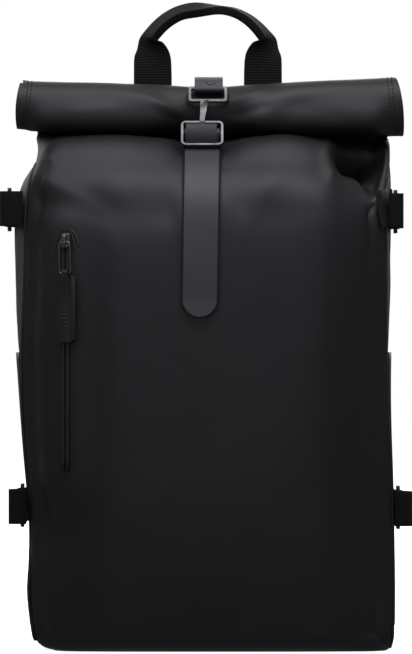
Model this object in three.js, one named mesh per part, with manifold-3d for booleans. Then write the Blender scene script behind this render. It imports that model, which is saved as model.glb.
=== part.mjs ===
// A rolltop backpack in coated black fabric, standing on its base.
// Millimetres. X runs to the right as seen from the front, Y to the back, Z up. The origin is the middle of the
// base's underside.
//
// The bag is cut and joined as the real one is: a front sheet and a back sheet that run up from the base, meet at
// the neck and are rolled forward together, two gussets between them that taper out at the neck, and a base panel.
// On it sit slip pockets, side straps, a zipped front pocket, a webbing handle, a roll closure and shoulder straps.
import * as THREE from "three";
import Module from "manifold-3d";
import { mergeVertices } from "three/addons/utils/BufferGeometryUtils.js";

const wasm = await Module();
wasm.setup();

// Driving dimensions of the bag
const bodyWidth = 334; // between the two front seams at mid height
const bodyDepth = 150; // base, front to back
const neckHeight = 487; // floor to the start of the roll
const neckBehind = 27; // how far the neck stands behind the middle of the base
const baseRadius = 18; // rounding from the walls into the base
const baseInsetRight = 4; // the same towards the right, where the corner is crushed square
const wall = 1.2; // coated fabric
const seamGap = 0.8; // between neighbouring panels
const clearance = 0.35; // between a piece and what carries it
const snug = 0.45; // between a strap and the bar that it bends round
const crownPower = 3; // how late the front sheet falls away to its seams

// Driving dimensions of the roll
const layerGap = 1; // between the two sheets inside the roll
const turnGap = 1.8; // between one turn and the next
const rollReach = 24; // neck layer to roll centre, front to back
const rollRise = 27; // the same, upwards
const rollTurns = 1.85;
const rollStart = THREE.MathUtils.degToRad(-20); // where the neck joins the roll, from the back of the roll
const stepsPerTurn = 13;
const hemBand = 11; // stitched band at each end of the roll

// Driving dimensions of the closure: tab, hook, slider and strap
const tabWidth = 26;
const tabThick = 1.6;
const tabAcross = 3.4; // middle of the tab and of the hook's eye, from the middle of the bag
const tabAbove = 2.3; // the tab's arch above the roll
const eyeBelow = 13.7; // top of the roll to the middle of the hook's eye
const eyeWidth = 36;
const eyeHeight = 16;
const eyeAcross = 2.6;
const eyeLean = THREE.MathUtils.degToRad(25); // how far the eye leans back
const hookThick = 3;
const strapWidth = 31;
const strapThick = 2;
const strapAcross = -2.6;
const layerStep = strapThick + clearance; // from one layer of the closure strap to the next
const strapTipAcross = -5;
const strapTipHeight = 305;
const strapSewnHeight = 332; // end of the layer below, hidden by the tongue
const ringWidth = 39.6;
const ringHeight = 27;
const ringBar = 3;
const ringDeep = 5;
const ringBelowNeck = 3; // where the slider's top rests, below the neck
const ringRise = 23; // from where its low end rests to there
const ringTopHeight = neckHeight - ringBelowNeck;
const ringLowHeight = ringTopHeight - ringRise;

// Driving dimensions of the other straps and pockets
const webbingThick = 1.5;
const handleWidth = 35;
const handleHalf = 51; // from the handle's middle to a foot's middle
const handleAcross = 2.6;
const handleBehind = 37; // the grip's distance behind the middle of the base
const handleRise = 102.5; // neck to the middle of the grip
const sewnBelowNeck = 46; // how far down the back the handle and the tab are sewn
const sewnRows = [neckHeight - sewnBelowNeck, neckHeight - ringBelowNeck];
const pocketOff = 2; // between the middles of pocket and gusset
const pocketMouth = 1.5; // how much more its mouth stands off
const sideStrapWidth = 32;
const sideStrapThick = 1.5;
const sideSliderLong = 28;
const sideSliderThick = 3;
const sideSliderBar = 3.4;
const zipInset = 40; // left seam to the front zip
const zipAcross = zipInset - bodyWidth / 2;
const zipLow = 165;
const zipHigh = 381;
const zipWidth = 8;
const zipThick = 1.6;
const zipSliderLong = 13;
const zipSliderWidth = 9;
const zipSliderThick = 3;
const zipLoopWidth = 12;
const zipLoopHeight = 30;
const zipWire = 1.8;
const pullWidth = 14.5;
const pullThick = 1.4; // one of its two layers
const pullLow = 282;
const zipPullLift = zipThick + 2 * clearance + pullThick;
const backPadThick = 9;
const backPadInset = 52; // side seam to the pad
const backPadWidth = bodyWidth - 2 * backPadInset;
const backPadLow = 34;
const backPadHigh = 384;
const shoulderWidth = 62;
const shoulderThick = 9;
const shoulderAcross = 44;
const shoulderProud = 61; // how far the straps' middle bows out behind their upper ends
const shoulderWebbing = 25;
const shoulderEndThick = 2.4; // folded end of the padded strap
const adjusterLong = 27;
const adjusterBar = 3;
const adjusterThick = 3;
const anchorInset = 31; // side seam to the webbing's lower end
const anchorAcross = bodyWidth / 2 - anchorInset;
const anchorHeight = 46;

// The body's rows, from where the base rounding ends up to the neck.
// frontUp and backUp are shares of neckHeight; frontOut and backOut, from the neck, are shares of bodyDepth;
// left, right and the gussets' bulges are shares of bodyWidth; crown and the corners are shares of bodyDepth.
const bodyColumns = [
  "frontUp", "frontOut", "backUp", "backOut", "left", "right", "bulgeLeft", "bulgeRight", "crown", "corner",
  "backCorner",
];
const bodyTable = [
  [0.039, 0.672, 0.039, 0.312, 0.4695, 0.512, 0, 0, 0.06, 0.14, 0.09],
  [0.12, 0.74, 0.12, 0.318, 0.4815, 0.5135, 0, 0, 0.12, 0.15, 0.09],
  [0.225, 0.79, 0.225, 0.318, 0.4695, 0.511, 0, 0, 0.16, 0.15, 0.09],
  [0.335, 0.815, 0.335, 0.318, 0.486, 0.508, 0, 0, 0.18, 0.15, 0.09],
  [0.45, 0.82, 0.45, 0.318, 0.4985, 0.4975, 0, 0.003, 0.18, 0.15, 0.09],
  [0.56, 0.812, 0.56, 0.318, 0.5, 0.494, 0.01, 0.008, 0.18, 0.15, 0.09],
  [0.655, 0.796, 0.655, 0.318, 0.495, 0.494, 0.026, 0.018, 0.175, 0.15, 0.09],
  [0.735, 0.77, 0.735, 0.318, 0.492, 0.494, 0.03, 0.018, 0.165, 0.15, 0.09],
  [0.8, 0.73, 0.8, 0.316, 0.491, 0.494, 0.036, 0.018, 0.15, 0.14, 0.09],
  [0.85, 0.672, 0.85, 0.308, 0.488, 0.495, 0.029, 0.014, 0.13, 0.13, 0.085],
  [0.887, 0.59, 0.885, 0.288, 0.479, 0.5, 0.022, 0.01, 0.11, 0.12, 0.08],
  [0.915, 0.49, 0.912, 0.254, 0.463, 0.507, 0.003, 0, 0.09, 0.1, 0.07],
  [0.937, 0.385, 0.935, 0.205, 0.4575, 0.508, -0.01, -0.008, 0.07, 0.08, 0.055],
  [0.952, 0.275, 0.952, 0.15, 0.459, 0.508, -0.012, -0.01, 0.045, 0.055, 0.04],
  [0.958, 0.165, 0.965, 0.1, 0.464, 0.508, -0.008, -0.008, 0.02, 0.03, 0.025],
  [0.961, 0.08, 0.976, 0.055, 0.47, 0.508, -0.004, -0.004, 0.005, 0.012, 0.012],
  [0.972, 0.02, 0.987, 0.02, 0.476, 0.509, -0.002, -0.002, 0, 0.004, 0.004],
  [1, 0, 1, 0, 0.48, 0.509, 0, 0, 0, 0, 0],
].map((row) => Object.fromEntries(row.map((value, i) => [bodyColumns[i], value])));
const lastSharedRow = bodyTable.length - 5; // above it the gusset tucks in between the sheets

// The sheets' reach along the roll, by turn from the neck, as shares of bodyWidth.
const rollTable = [
  { turn: 0, left: 0.48, right: 0.509 },
  { turn: 0.3, left: 0.506, right: 0.526 },
  { turn: 0.45, left: 0.519, right: 0.541 },
  { turn: 0.58, left: 0.526, right: 0.551 },
  { turn: 0.8, left: 0.522, right: 0.55 },
  { turn: 1, left: 0.515, right: 0.535 },
  { turn: 3, left: 0.505, right: 0.53 },
];

// How the roll is squeezed along its length. across is a share of half bodyWidth; top and bottom move it up, as
// shares of rollRise; deep scales its thickness, front to back.
const squeezeTable = [
  { across: -1.1, top: 0.02, bottom: 0.24, deep: 0.86 },
  { across: -0.8, top: -0.03, bottom: 0.14, deep: 0.95 },
  { across: -0.45, top: -0.1, bottom: 0.02, deep: 1 },
  { across: -0.2, top: -0.12, bottom: 0.02, deep: 0.9 },
  { across: 0, top: -0.26, bottom: 0.06, deep: 0.74 },
  { across: 0.2, top: -0.12, bottom: 0.02, deep: 0.9 },
  { across: 0.45, top: -0.05, bottom: 0, deep: 1 },
  { across: 0.8, top: 0.06, bottom: -0.02, deep: 1 },
  { across: 1.1, top: 0.15, bottom: -0.05, deep: 0.95 },
];

// Dents of the front sheet. across is a share of half bodyWidth, up of neckHeight, wide of bodyWidth, tall of
// neckHeight, deep of bodyDepth.
const dentTable = [
  { across: 0.86, up: 0.915, wide: 0.075, tall: 0.05, deep: 0.2 },
  { across: 0.98, up: 0.82, wide: 0.06, tall: 0.05, deep: -0.02 },
  { across: -0.98, up: 0.225, wide: 0.07, tall: 0.03, deep: 0.04 },
  { across: 0, up: 0.9, wide: 0.08, tall: 0.05, deep: 0.03 },
  { across: -0.55, up: 0.9, wide: 0.2, tall: 0.05, deep: -0.03 },
  { across: 0.45, up: 0.88, wide: 0.18, tall: 0.06, deep: -0.03 },
];

const flatColumns = [-1, -0.75, -0.5, -0.25, 0, 0.25, 0.5, 0.75, 1];
const cornerSteps = 3;
const gussetSteps = 5;

const { clamp, lerp, smoothstep } = THREE.MathUtils;
const vector = (x, y, z) => new THREE.Vector3(x, y, z);

// Materials, one for each finish
const finish = (color, roughness, metalness = 0) => new THREE.MeshStandardMaterial({ color, roughness, metalness });
const coatedFabric = finish(0x1c1c1e, 0.5);
const rubberised = finish(0x26262a, 0.45);
const webbing = finish(0x111113, 0.85);
const padding = finish(0x161618, 0.8);
const gunmetal = finish(0x6c6c70, 0.35, 0.9);
const plastic = finish(0x18181a, 0.55);
const zipTape = finish(0x0c0c0e, 0.7);

// A value between a table's rows, on a smooth curve through them.
function tableValue(table, column, at) {
  const i = clamp(Math.floor(at), 0, table.length - 2);
  const t = clamp(at - i, 0, 1);
  const pick = (k) => table[clamp(k, 0, table.length - 1)][column];
  const slopeIn = (pick(i + 1) - pick(i - 1)) / 2;
  const slopeOut = (pick(i + 2) - pick(i)) / 2;
  const rise = pick(i + 1) - pick(i);
  return pick(i) + t * (slopeIn + t * (3 * rise - 2 * slopeIn - slopeOut + t * (slopeIn + slopeOut - 2 * rise)));
}

// The fractional row at which a table's key column reaches a value.
function rowWhere(table, key, value) {
  let low = 0;
  let high = table.length - 1;
  while (high - low > 1) {
    const middle = (low + high) >> 1;
    if (table[middle][key] <= value) low = middle;
    else high = middle;
  }
  return low + clamp((value - table[low][key]) / (table[high][key] - table[low][key]), 0, 1);
}

// The roll's spine: a spiral that starts at the neck and winds forward.
const sheetPitch = wall + layerGap;
const turnPitch = 2 * wall + layerGap + turnGap;
const rollCentre = {
  y: neckBehind - rollReach * Math.cos(rollStart),
  z: neckHeight - rollRise * Math.sin(rollStart),
};
const rollTop = rollCentre.z + rollRise;
const rollBottom = rollCentre.z - rollRise;
const rollBack = rollCentre.y + rollReach;

function spinePoint(turn) {
  const angle = rollStart + 2 * Math.PI * turn;
  const reach = rollReach - turnPitch * turn;
  const rise = rollRise - turnPitch * turn;
  const outward = new THREE.Vector2(Math.cos(angle) / reach, Math.sin(angle) / rise).normalize();
  return { y: rollCentre.y + reach * Math.cos(angle), z: rollCentre.z + rise * Math.sin(angle), outward };
}

// Squeezes a point of the roll by how far along the roll it is.
function squeezed(point, share) {
  const at = rowWhere(squeezeTable, "across", point.x / (bodyWidth / 2));
  const top = rollTop + rollRise * tableValue(squeezeTable, "top", at);
  const bottom = rollBottom + rollRise * tableValue(squeezeTable, "bottom", at);
  const deep = tableValue(squeezeTable, "deep", at);
  const z = lerp(bottom, top, (point.z - rollBottom) / (rollTop - rollBottom));
  const y = rollBack + (point.y - rollBack) * deep;
  return vector(point.x, lerp(point.y, y, share), lerp(point.z, z, share));
}

// The body's section at row v. Rows from -1 to 0 are the rounding into the base.
function sectionAt(v, extraInset = 0) {
  const at = Math.max(v, 0);
  const turned = clamp(v + 1, 0, 1) * (Math.PI / 2);
  const inset = baseRadius * (1 - Math.sin(turned));
  const insetRight = (inset * baseInsetRight) / baseRadius;
  const drop = baseRadius * Math.cos(turned);
  const value = (column) => tableValue(bodyTable, column, at);
  return {
    left: value("left") * bodyWidth - inset - extraInset,
    right: value("right") * bodyWidth - insetRight - extraInset,
    bulgeLeft: value("bulgeLeft") * bodyWidth,
    bulgeRight: value("bulgeRight") * bodyWidth,
    crown: value("crown") * bodyDepth,
    corner: Math.max(value("corner") * bodyDepth, 0),
    backCorner: Math.max(value("backCorner") * bodyDepth, 0),
    frontY: neckBehind - sheetPitch / 2 - value("frontOut") * bodyDepth + inset + extraInset,
    backY: neckBehind + sheetPitch / 2 + value("backOut") * bodyDepth - inset - extraInset,
    frontZ: Math.max(value("frontUp") * neckHeight - drop, wall / 2),
    backZ: Math.max(value("backUp") * neckHeight - drop, wall / 2),
  };
}

const rowAtHeight = (height) => rowWhere(bodyTable, "frontUp", height / neckHeight);
const reachOn = (section, x) => (x < 0 ? section.left : section.right);
const cornerFall = (x, reach, wide, deep) => {
  const into = clamp((Math.abs(x) - (reach - wide)) / wide, 0, 1);
  return deep * (1 - Math.sqrt(1 - into * into));
};

function dentAt(x, z) {
  return dentTable.reduce((sum, d) => {
    const across = (x - (d.across * bodyWidth) / 2) / (d.wide * bodyWidth);
    const up = (z - d.up * neckHeight) / (d.tall * neckHeight);
    return sum + d.deep * bodyDepth * Math.exp(-across * across - up * up);
  }, 0);
}

const rollShare = (v) => smoothstep(v, bodyTable.length - 5, bodyTable.length - 1);

// The middle of the front sheet at x, on row v.
function frontAt(x, v) {
  const s = sectionAt(v);
  const reach = reachOn(s, x);
  const fall = cornerFall(x, reach, Math.max(s.corner, hemBand), s.corner);
  const y = s.frontY + s.crown * Math.abs(x / reach) ** crownPower + fall;
  const dent = dentAt(x, s.frontZ) * (1 - rollShare(v));
  return squeezed(vector(x, y + dent, s.frontZ), rollShare(v));
}

// The middle of the back sheet at x, on row v.
function backAt(x, v) {
  const s = sectionAt(v);
  const reach = reachOn(s, x);
  const fall = cornerFall(x, reach, Math.max(s.backCorner, hemBand), s.backCorner);
  return squeezed(vector(x, s.backY - fall, s.backZ), rollShare(v));
}

// A gusset's middle: side -1 is the left one; share runs from its front seam to its back seam.
function gussetAt(side, share, v) {
  const s = sectionAt(v);
  const reach = side * (side < 0 ? s.left : s.right);
  const point = frontAt(reach, v).lerp(backAt(reach, v), share);
  point.x += side * (side < 0 ? s.bulgeLeft : s.bulgeRight) * Math.sin(Math.PI * share);
  return point;
}

// X of every column of a sheet, from the left seam to the right one.
function columnsAt(left, right, wide) {
  const corner = [];
  for (let k = 1; k <= cornerSteps; k++) corner.push(Math.sin((Math.PI / 2) * (k / cornerSteps)));
  const flat = flatColumns.map((u) => u * ((u < 0 ? left : right) - wide));
  const leftCorner = corner.map((c) => -(left - wide + wide * c)).reverse();
  const rightCorner = corner.map((c) => right - wide + wide * c);
  return [...leftCorner, ...flat, ...rightCorner];
}

const bodyRows = [-1, -2 / 3, -1 / 3, ...bodyTable.keys()];
const rollRows = [];
for (let k = 1; k <= Math.round(rollTurns * stepsPerTurn); k++) rollRows.push(k / stepsPerTurn);

// Every point of a sheet: body rows first, then the roll's. outside is 1 for the back sheet, which lies outermost
// in the roll, and -1 for the front sheet.
function sheetGrid(outside) {
  const along = outside > 0 ? backAt : frontAt;
  const corner = outside > 0 ? "backCorner" : "corner";
  const body = bodyRows.map((v) => {
    const s = sectionAt(v);
    return columnsAt(s.left, s.right, Math.max(s[corner], hemBand)).map((x) => along(x, v));
  });
  const roll = rollRows.map((turn) => {
    const at = rowWhere(rollTable, "turn", turn);
    const spine = spinePoint(turn);
    const left = tableValue(rollTable, "left", at) * bodyWidth;
    const right = tableValue(rollTable, "right", at) * bodyWidth;
    const y = spine.y + (outside * sheetPitch * spine.outward.x) / 2;
    const z = spine.z + (outside * sheetPitch * spine.outward.y) / 2;
    return columnsAt(left, right, hemBand).map((x) => squeezed(vector(x, y, z), 1));
  });
  return [...body, ...roll];
}

function gussetGrid(side) {
  return [...bodyRows.filter((v) => v <= lastSharedRow), lastSharedRow + 0.4].map((v) => 
    Array.from({ length: gussetSteps + 1 }, (_, k) => gussetAt(side, k / gussetSteps, v)),
  );
}

// Normals of a grid of points, from its neighbours.
function gridNormals(grid) {
  return grid.map((row, i) =>
    row.map((_, j) => {
      const up = grid[Math.min(i + 1, grid.length - 1)][j].clone().sub(grid[Math.max(i - 1, 0)][j]);
      const across = row[Math.min(j + 1, row.length - 1)].clone().sub(row[Math.max(j - 1, 0)]);
      return across.cross(up).normalize();
    }),
  );
}

// Makes a seam's normals agree on both panels that meet there.
function shareSeam(first, firstColumn, second, secondColumn, sign) {
  for (let i = 0; i <= bodyRows.indexOf(lastSharedRow); i++) {
    const a = first[i][firstColumn];
    const b = second[i][secondColumn];
    const both = a.clone().addScaledVector(b, sign).normalize();
    a.copy(both);
    b.copy(both).multiplyScalar(sign);
  }
}

// A closed geometry from vertices and triangles, with its faces turned out.
function closedGeometry(points, triangles) {
  const volume = triangles.reduce((sum, [a, b, c]) => sum + points[a].dot(points[b].clone().cross(points[c])), 0);
  const index = triangles.flatMap(([a, b, c]) => (volume < 0 ? [a, c, b] : [a, b, c]));
  return new THREE.BufferGeometry().setFromPoints(points).setIndex(index);
}

// A thin solid wall about a grid of points. trim gives how far each row's ends, and the lowest row, are pulled back.
const noTrim = () => ({ ends: 0, bottom: 0 });
function sheetSolid(grid, normals, thick, trim = noTrim) {
  const rows = grid.length;
  const columns = grid[0].length;
  const pull = (point, neighbour, amount) => point.clone().lerp(neighbour, amount / point.distanceTo(neighbour));
  const middle = grid.map((row, i) =>
    row.map((point, j) => {
      let moved = point;
      if (j === 0) moved = pull(moved, row[1], trim(i).ends);
      if (j === columns - 1) moved = pull(moved, row[columns - 2], trim(i).ends);
      if (i === 0) moved = pull(moved, grid[1][j], trim(i).bottom);
      return moved;
    }),
  );
  const points = [];
  for (const side of [1, -1])
    middle.forEach((row, i) => row.forEach((p, j) => points.push(p.clone().addScaledVector(normals[i][j], (side * thick) / 2))));
  const at = (side, i, j) => (side * rows + i) * columns + j;
  const triangles = [];
  const quad = (a, b, c, d) => triangles.push([a, b, c], [a, c, d]);
  for (let i = 0; i < rows - 1; i++)
    for (let j = 0; j < columns - 1; j++) {
      quad(at(0, i, j), at(0, i, j + 1), at(0, i + 1, j + 1), at(0, i + 1, j));
      quad(at(1, i, j), at(1, i + 1, j), at(1, i + 1, j + 1), at(1, i, j + 1));
    }
  for (let i = 0; i < rows - 1; i++) {
    quad(at(0, i, 0), at(0, i + 1, 0), at(1, i + 1, 0), at(1, i, 0));
    quad(at(0, i, columns - 1), at(1, i, columns - 1), at(1, i + 1, columns - 1), at(0, i + 1, columns - 1));
  }
  for (let j = 0; j < columns - 1; j++) {
    quad(at(0, 0, j), at(1, 0, j), at(1, 0, j + 1), at(0, 0, j + 1));
    quad(at(0, rows - 1, j), at(0, rows - 1, j + 1), at(1, rows - 1, j + 1), at(1, rows - 1, j));
  }
  return closedGeometry(points, triangles);
}

// A solid through rings of points that all have the same count, capped at both ends.
function loftRings(rings) {
  const count = rings[0].length;
  const triangles = [];
  for (let i = 0; i < rings.length - 1; i++)
    for (let j = 0; j < count; j++) {
      const next = (j + 1) % count;
      const [a, b, c, d] = [i * count + j, i * count + next, (i + 1) * count + next, (i + 1) * count + j];
      triangles.push([a, b, c], [a, c, d]);
    }
  const last = (rings.length - 1) * count;
  for (let j = 1; j < count - 1; j++) triangles.push([0, j + 1, j], [last, last + j, last + j + 1]);
  return closedGeometry(rings.flat(), triangles);
}

const flatSection = [[-1, -1], [1, -1], [1, 1], [-1, 1]];
const paddedSection = [[-1, -0.35], [-0.82, -1], [0.82, -1], [1, -0.35], [1, 0.35], [0.82, 1], [-0.82, 1], [-1, 0.35]];

// A strap through stations. Each has a place, the direction of the strap's width there, its width and thickness.
function ribbon(stations, section = flatSection) {
  const rings = stations.map((s, i) => {
    const before = stations[Math.max(i - 1, 0)].at;
    const after = stations[Math.min(i + 1, stations.length - 1)].at;
    const along = after.clone().sub(before).normalize();
    const across = s.across.clone().addScaledVector(along, -s.across.dot(along)).normalize();
    const up = along.clone().cross(across);
    return section.map(([a, b]) =>
      s.at.clone().addScaledVector(across, (a * s.width) / 2).addScaledVector(up, (b * s.thick) / 2),
    );
  });
  return loftRings(rings);
}

function roundedRectangle(width, height, radius) {
  const [w, h] = [width / 2, height / 2];
  const shape = new THREE.Path();
  shape.moveTo(-w + radius, -h);
  shape.lineTo(w - radius, -h).absarc(w - radius, -h + radius, radius, -Math.PI / 2, 0);
  shape.lineTo(w, h - radius).absarc(w - radius, h - radius, radius, 0, Math.PI / 2);
  shape.lineTo(-w + radius, h).absarc(-w + radius, h - radius, radius, Math.PI / 2, Math.PI);
  shape.lineTo(-w, -h + radius).absarc(-w + radius, -h + radius, radius, Math.PI, 1.5 * Math.PI);
  return shape;
}

// A flat plate of an outline, thick along Z about its middle, with holes and softened edges.
function plate(outline, holes, thick, soften = 0.4, curveSegments = 3) {
  const shape = new THREE.Shape(outline.getPoints(curveSegments));
  shape.holes = holes.map((h) => new THREE.Path(h.getPoints(curveSegments).reverse()));
  const made = new THREE.ExtrudeGeometry(shape, {
    depth: thick - 2 * soften,
    bevelEnabled: soften > 0,
    bevelThickness: soften,
    bevelSize: soften,
    bevelOffset: -soften,
    bevelSegments: 1,
    curveSegments,
  });
  return made.translate(0, 0, -(thick - 2 * soften) / 2);
}

function solidOf(geometry) {
  const bare = geometry.clone();
  bare.deleteAttribute("normal");
  bare.deleteAttribute("uv");
  const merged = mergeVertices(bare, 1e-4);
  return new wasm.Manifold(
    new wasm.Mesh({ numProp: 3, vertProperties: merged.attributes.position.array, triVerts: new Uint32Array(merged.index.array) }),
  );
}

function geometryOf(solid) {
  const mesh = solid.getMesh();
  return new THREE.BufferGeometry()
    .setAttribute("position", new THREE.BufferAttribute(mesh.vertProperties, 3))
    .setIndex(new THREE.BufferAttribute(mesh.triVerts, 1));
}

// A closed loop of round wire through points that lie in the plane of a normal.
function wireLoop(points, normal, radius, sides = 6) {
  const count = points.length;
  const vertices = points.flatMap((p, i) => {
    const along = points[(i + 1) % count].clone().sub(points[(i + count - 1) % count]).normalize();
    const out = along.clone().cross(normal).normalize();
    return Array.from({ length: sides }, (_, k) => {
      const angle = (2 * Math.PI * k) / sides;
      return p.clone().addScaledVector(out, radius * Math.cos(angle)).addScaledVector(normal, radius * Math.sin(angle));
    });
  });
  const triangles = [];
  for (let i = 0; i < count; i++)
    for (let k = 0; k < sides; k++) {
      const [i2, k2] = [(i + 1) % count, (k + 1) % sides];
      const [a, b, c, d] = [i * sides + k, i * sides + k2, i2 * sides + k2, i2 * sides + k];
      triangles.push([a, b, c], [a, c, d]);
    }
  return closedGeometry(vertices, triangles);
}

// A place with its own directions: right, up, and out, which faces away from the bag.
function frameAt(centre, level, up) {
  const out = level.clone().cross(up).normalize();
  const right = up.clone().cross(out);
  const at = (across, high, off) =>
    centre.clone().addScaledVector(right, across).addScaledVector(up, high).addScaledVector(out, off);
  const place = (geometry) =>
    geometry.applyMatrix4(new THREE.Matrix4().makeBasis(right, up, out).setPosition(centre));
  return { centre, right, up, out, at, place };
}

const rightward = vector(1, 0, 0);
const upward = vector(0, 0, 1);
const leaning = (lean) => vector(0, Math.sin(lean), Math.cos(lean));

// A frame with two slots and a bar between them.
function slider(width, height, bar, thick, radius, soften) {
  const slotHeight = (height - 3 * bar) / 2;
  const slots = [-1, 1].map((way) => {
    const slot = roundedRectangle(width - 2 * bar, slotHeight, radius / 4).getPoints(1);
    return new THREE.Path(slot.map((p) => new THREE.Vector2(p.x, p.y + (way * (slotHeight + bar)) / 2)));
  });
  return plate(roundedRectangle(width, height, radius), slots, thick, soften);
}

// The way a strap takes over a bar from behind, as pairs of how high and how far out of the bar's middle.
function overBar(barHigh, barDeep, off) {
  const [high, out] = [barHigh / 2, barDeep / 2];
  const slant = off * Math.SQRT1_2;
  const before = [[0, -out - off], [high, -out - off], [high + slant, -out - slant], [high + off, -out]];
  const after = before.map(([h, o]) => [h, -o]).reverse();
  return [...before, ...after];
}

// The way a strap takes under a bar, from in front of it.
const underBar = (barHigh, barDeep, off) => overBar(barHigh, barDeep, off).map(([h, o]) => [-h, -o]);

const bag = new THREE.Group();
const caster = new THREE.Raycaster();

function addPiece(name, geometry, material) {
  const mesh = new THREE.Mesh(geometry, material);
  mesh.name = name;
  bag.add(mesh);
}

// Where a ray from outside the bag first meets what is built so far.
const outside = 400;
function hit(from, direction) {
  caster.set(from, direction);
  return caster.intersectObject(bag, true)[0]?.point;
}
const frontHit = (x, z) => hit(vector(x, -outside, z), vector(0, 1, 0));
const backHit = (x, z) => hit(vector(x, outside, z), vector(0, -1, 0));
const sideHit = (side, y, z) => hit(vector(side * outside, y, z), vector(-side, 0, 0));
const spread = (middle, half) => [-1, -0.5, 0, 0.5, 1].map((u) => middle + u * half);

// The foremost, hindmost and outermost place of the bag under a strap of some width.
const foremost = (x, z, half) => Math.min(...spread(x, half).map((at) => frontHit(at, z).y));
const hindmost = (x, z, half) => Math.max(...spread(x, half).map((at) => backHit(at, z)?.y ?? -outside));
function outermost(side, y, z, half) {
  return Math.max(...spread(z, half).map((at) => side * (sideHit(side, y, at)?.x ?? 0)));
}

// The same for a strap that keeps off a sloping wall by lift, measured square to the wall.
const slopeStep = 2;
function offWall(reachOf, z, lift) {
  const slopes = [reachOf(z + slopeStep) - reachOf(z), reachOf(z) - reachOf(z - slopeStep)];
  const steepest = Math.max(...slopes.map(Math.abs)) / slopeStep;
  return reachOf(z) + lift * Math.hypot(1, steepest);
}
const beforeFront = (x, z, half, lift) => -offWall((at) => -foremost(x, at, half), z, lift);
const behindBack = (x, z, half, lift) => offWall((at) => hindmost(x, at, half), z, lift);

// A station of a strap that lies on the front, square to it from side to side.
function onFront(x, z, width, thick, lift) {
  const [left, middle, right] = [-1, 0, 1].map((u) => frontHit(x + (u * width) / 2, z));
  const across = right.clone().sub(left);
  const bulge = Math.max(0, (left.y + right.y) / 2 - middle.y);
  const tilt = across.x / across.length();
  const at = vector(x, (left.y + right.y) / 2 - bulge - (lift + thick / 2) / tilt, z);
  return { at, across: across.normalize(), width, thick };
}

// Heights at which the front and the back sheet bend, between two heights
const bendsBetween = (column, low, high) =>
  bodyTable.map((row) => row[column] * neckHeight).filter((z) => z > low && z < high);

// The four walls and the base
function addPanels() {
  const front = sheetGrid(-1);
  const back = sheetGrid(1);
  const left = gussetGrid(-1);
  const right = gussetGrid(1);
  const [frontNormals, backNormals, leftNormals, rightNormals] = [front, back, left, right].map(gridNormals);
  const last = front[0].length - 1;
  shareSeam(frontNormals, 0, leftNormals, 0, -1);
  shareSeam(frontNormals, last, rightNormals, 0, 1);
  shareSeam(backNormals, 0, leftNormals, gussetSteps, 1);
  shareSeam(backNormals, last, rightNormals, gussetSteps, -1);
  const ends = seamGap / 2;
  const topRow = left.length - 1;
  const sheetTrim = () => ({ ends, bottom: ends });
  const tuck = [5 * wall, wall, wall];
  const gussetTrim = (row) => ({ ends: tuck[topRow - row] ?? ends, bottom: ends });
  addPiece("front_sheet", sheetSolid(front, frontNormals, wall, sheetTrim), coatedFabric);
  addPiece("back_sheet", sheetSolid(back, backNormals, wall, sheetTrim), coatedFabric);
  addPiece("gusset_left", sheetSolid(left, leftNormals, wall, gussetTrim), coatedFabric);
  addPiece("gusset_right", sheetSolid(right, rightNormals, wall, gussetTrim), coatedFabric);
}

function addBase() {
  const s = sectionAt(-1, seamGap);
  const frontY = (x) => {
    const reach = reachOn(s, x);
    return s.frontY + s.crown * Math.abs(x / reach) ** crownPower + cornerFall(x, reach, s.corner, s.corner);
  };
  const backY = (x) => s.backY - cornerFall(x, reachOn(s, x), s.backCorner, s.backCorner);
  const frontEdge = columnsAt(s.left, s.right, s.corner).map((x) => new THREE.Vector2(x, frontY(x)));
  const backEdge = columnsAt(s.left, s.right, s.backCorner).map((x) => new THREE.Vector2(x, backY(x)));
  const outline = new THREE.Path([...frontEdge, ...backEdge.reverse()]);
  outline.closePath();
  addPiece("base_panel", plate(outline, [], wall, 0).translate(0, 0, wall / 2), coatedFabric);
}

// Side pockets: slip pockets that lie on the gussets and stand off at the mouth
const pocketRows = [0.2, 1, 2, 3, 4, 5];
const pocketColumns = [
  { share: 0.06, open: 0 },
  { share: 0.2, open: 0.75 },
  { share: 0.4, open: 1 },
  { share: 0.6, open: 1 },
  { share: 0.8, open: 0.75 },
  { share: 0.94, open: 0 },
];
function addSidePockets() {
  for (const [side, name] of [[-1, "left"], [1, "right"]]) {
    const grid = pocketRows.map((v, i) => {
      const opened = pocketMouth * (i / (pocketRows.length - 1)) ** 1.5;
      return pocketColumns.map((column) => {
        const point = gussetAt(side, column.share, v);
        point.x += side * (pocketOff + column.open * opened);
        return point;
      });
    });
    addPiece(`side_pocket_${name}`, sheetSolid(grid, gridNormals(grid), wall), coatedFabric);
  }
}

// The handle: two wide feet that rise behind the roll, and between them a grip folded lengthwise.
// out is a share of handleHalf, up, from the neck, of handleRise, width of handleWidth and thick of webbingThick;
// turn is in degrees.
const handleTable = [
  { out: 1, up: 0.176, turn: 0, width: 1, thick: 1 },
  { out: 1, up: 0.439, turn: 0, width: 1, thick: 1 },
  { out: 1.01, up: 0.585, turn: 5, width: 0.95, thick: 1.1 },
  { out: 1.04, up: 0.673, turn: 20, width: 0.74, thick: 1.5 },
  { out: 1.07, up: 0.732, turn: 45, width: 0.56, thick: 2.2 },
  { out: 1.02, up: 0.771, turn: 62, width: 0.5, thick: 2.8 },
  { out: 0.87, up: 0.854, turn: 70, width: 0.5, thick: 3 },
  { out: 0.7, up: 0.922, turn: 74, width: 0.5, thick: 3 },
  { out: 0.48, up: 0.976, turn: 80, width: 0.5, thick: 3 },
  { out: 0.2, up: 1, turn: 86, width: 0.5, thick: 3 },
];
const gripTilt = [0.5, 0.1]; // how much the grip's left and right half show their face
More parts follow.
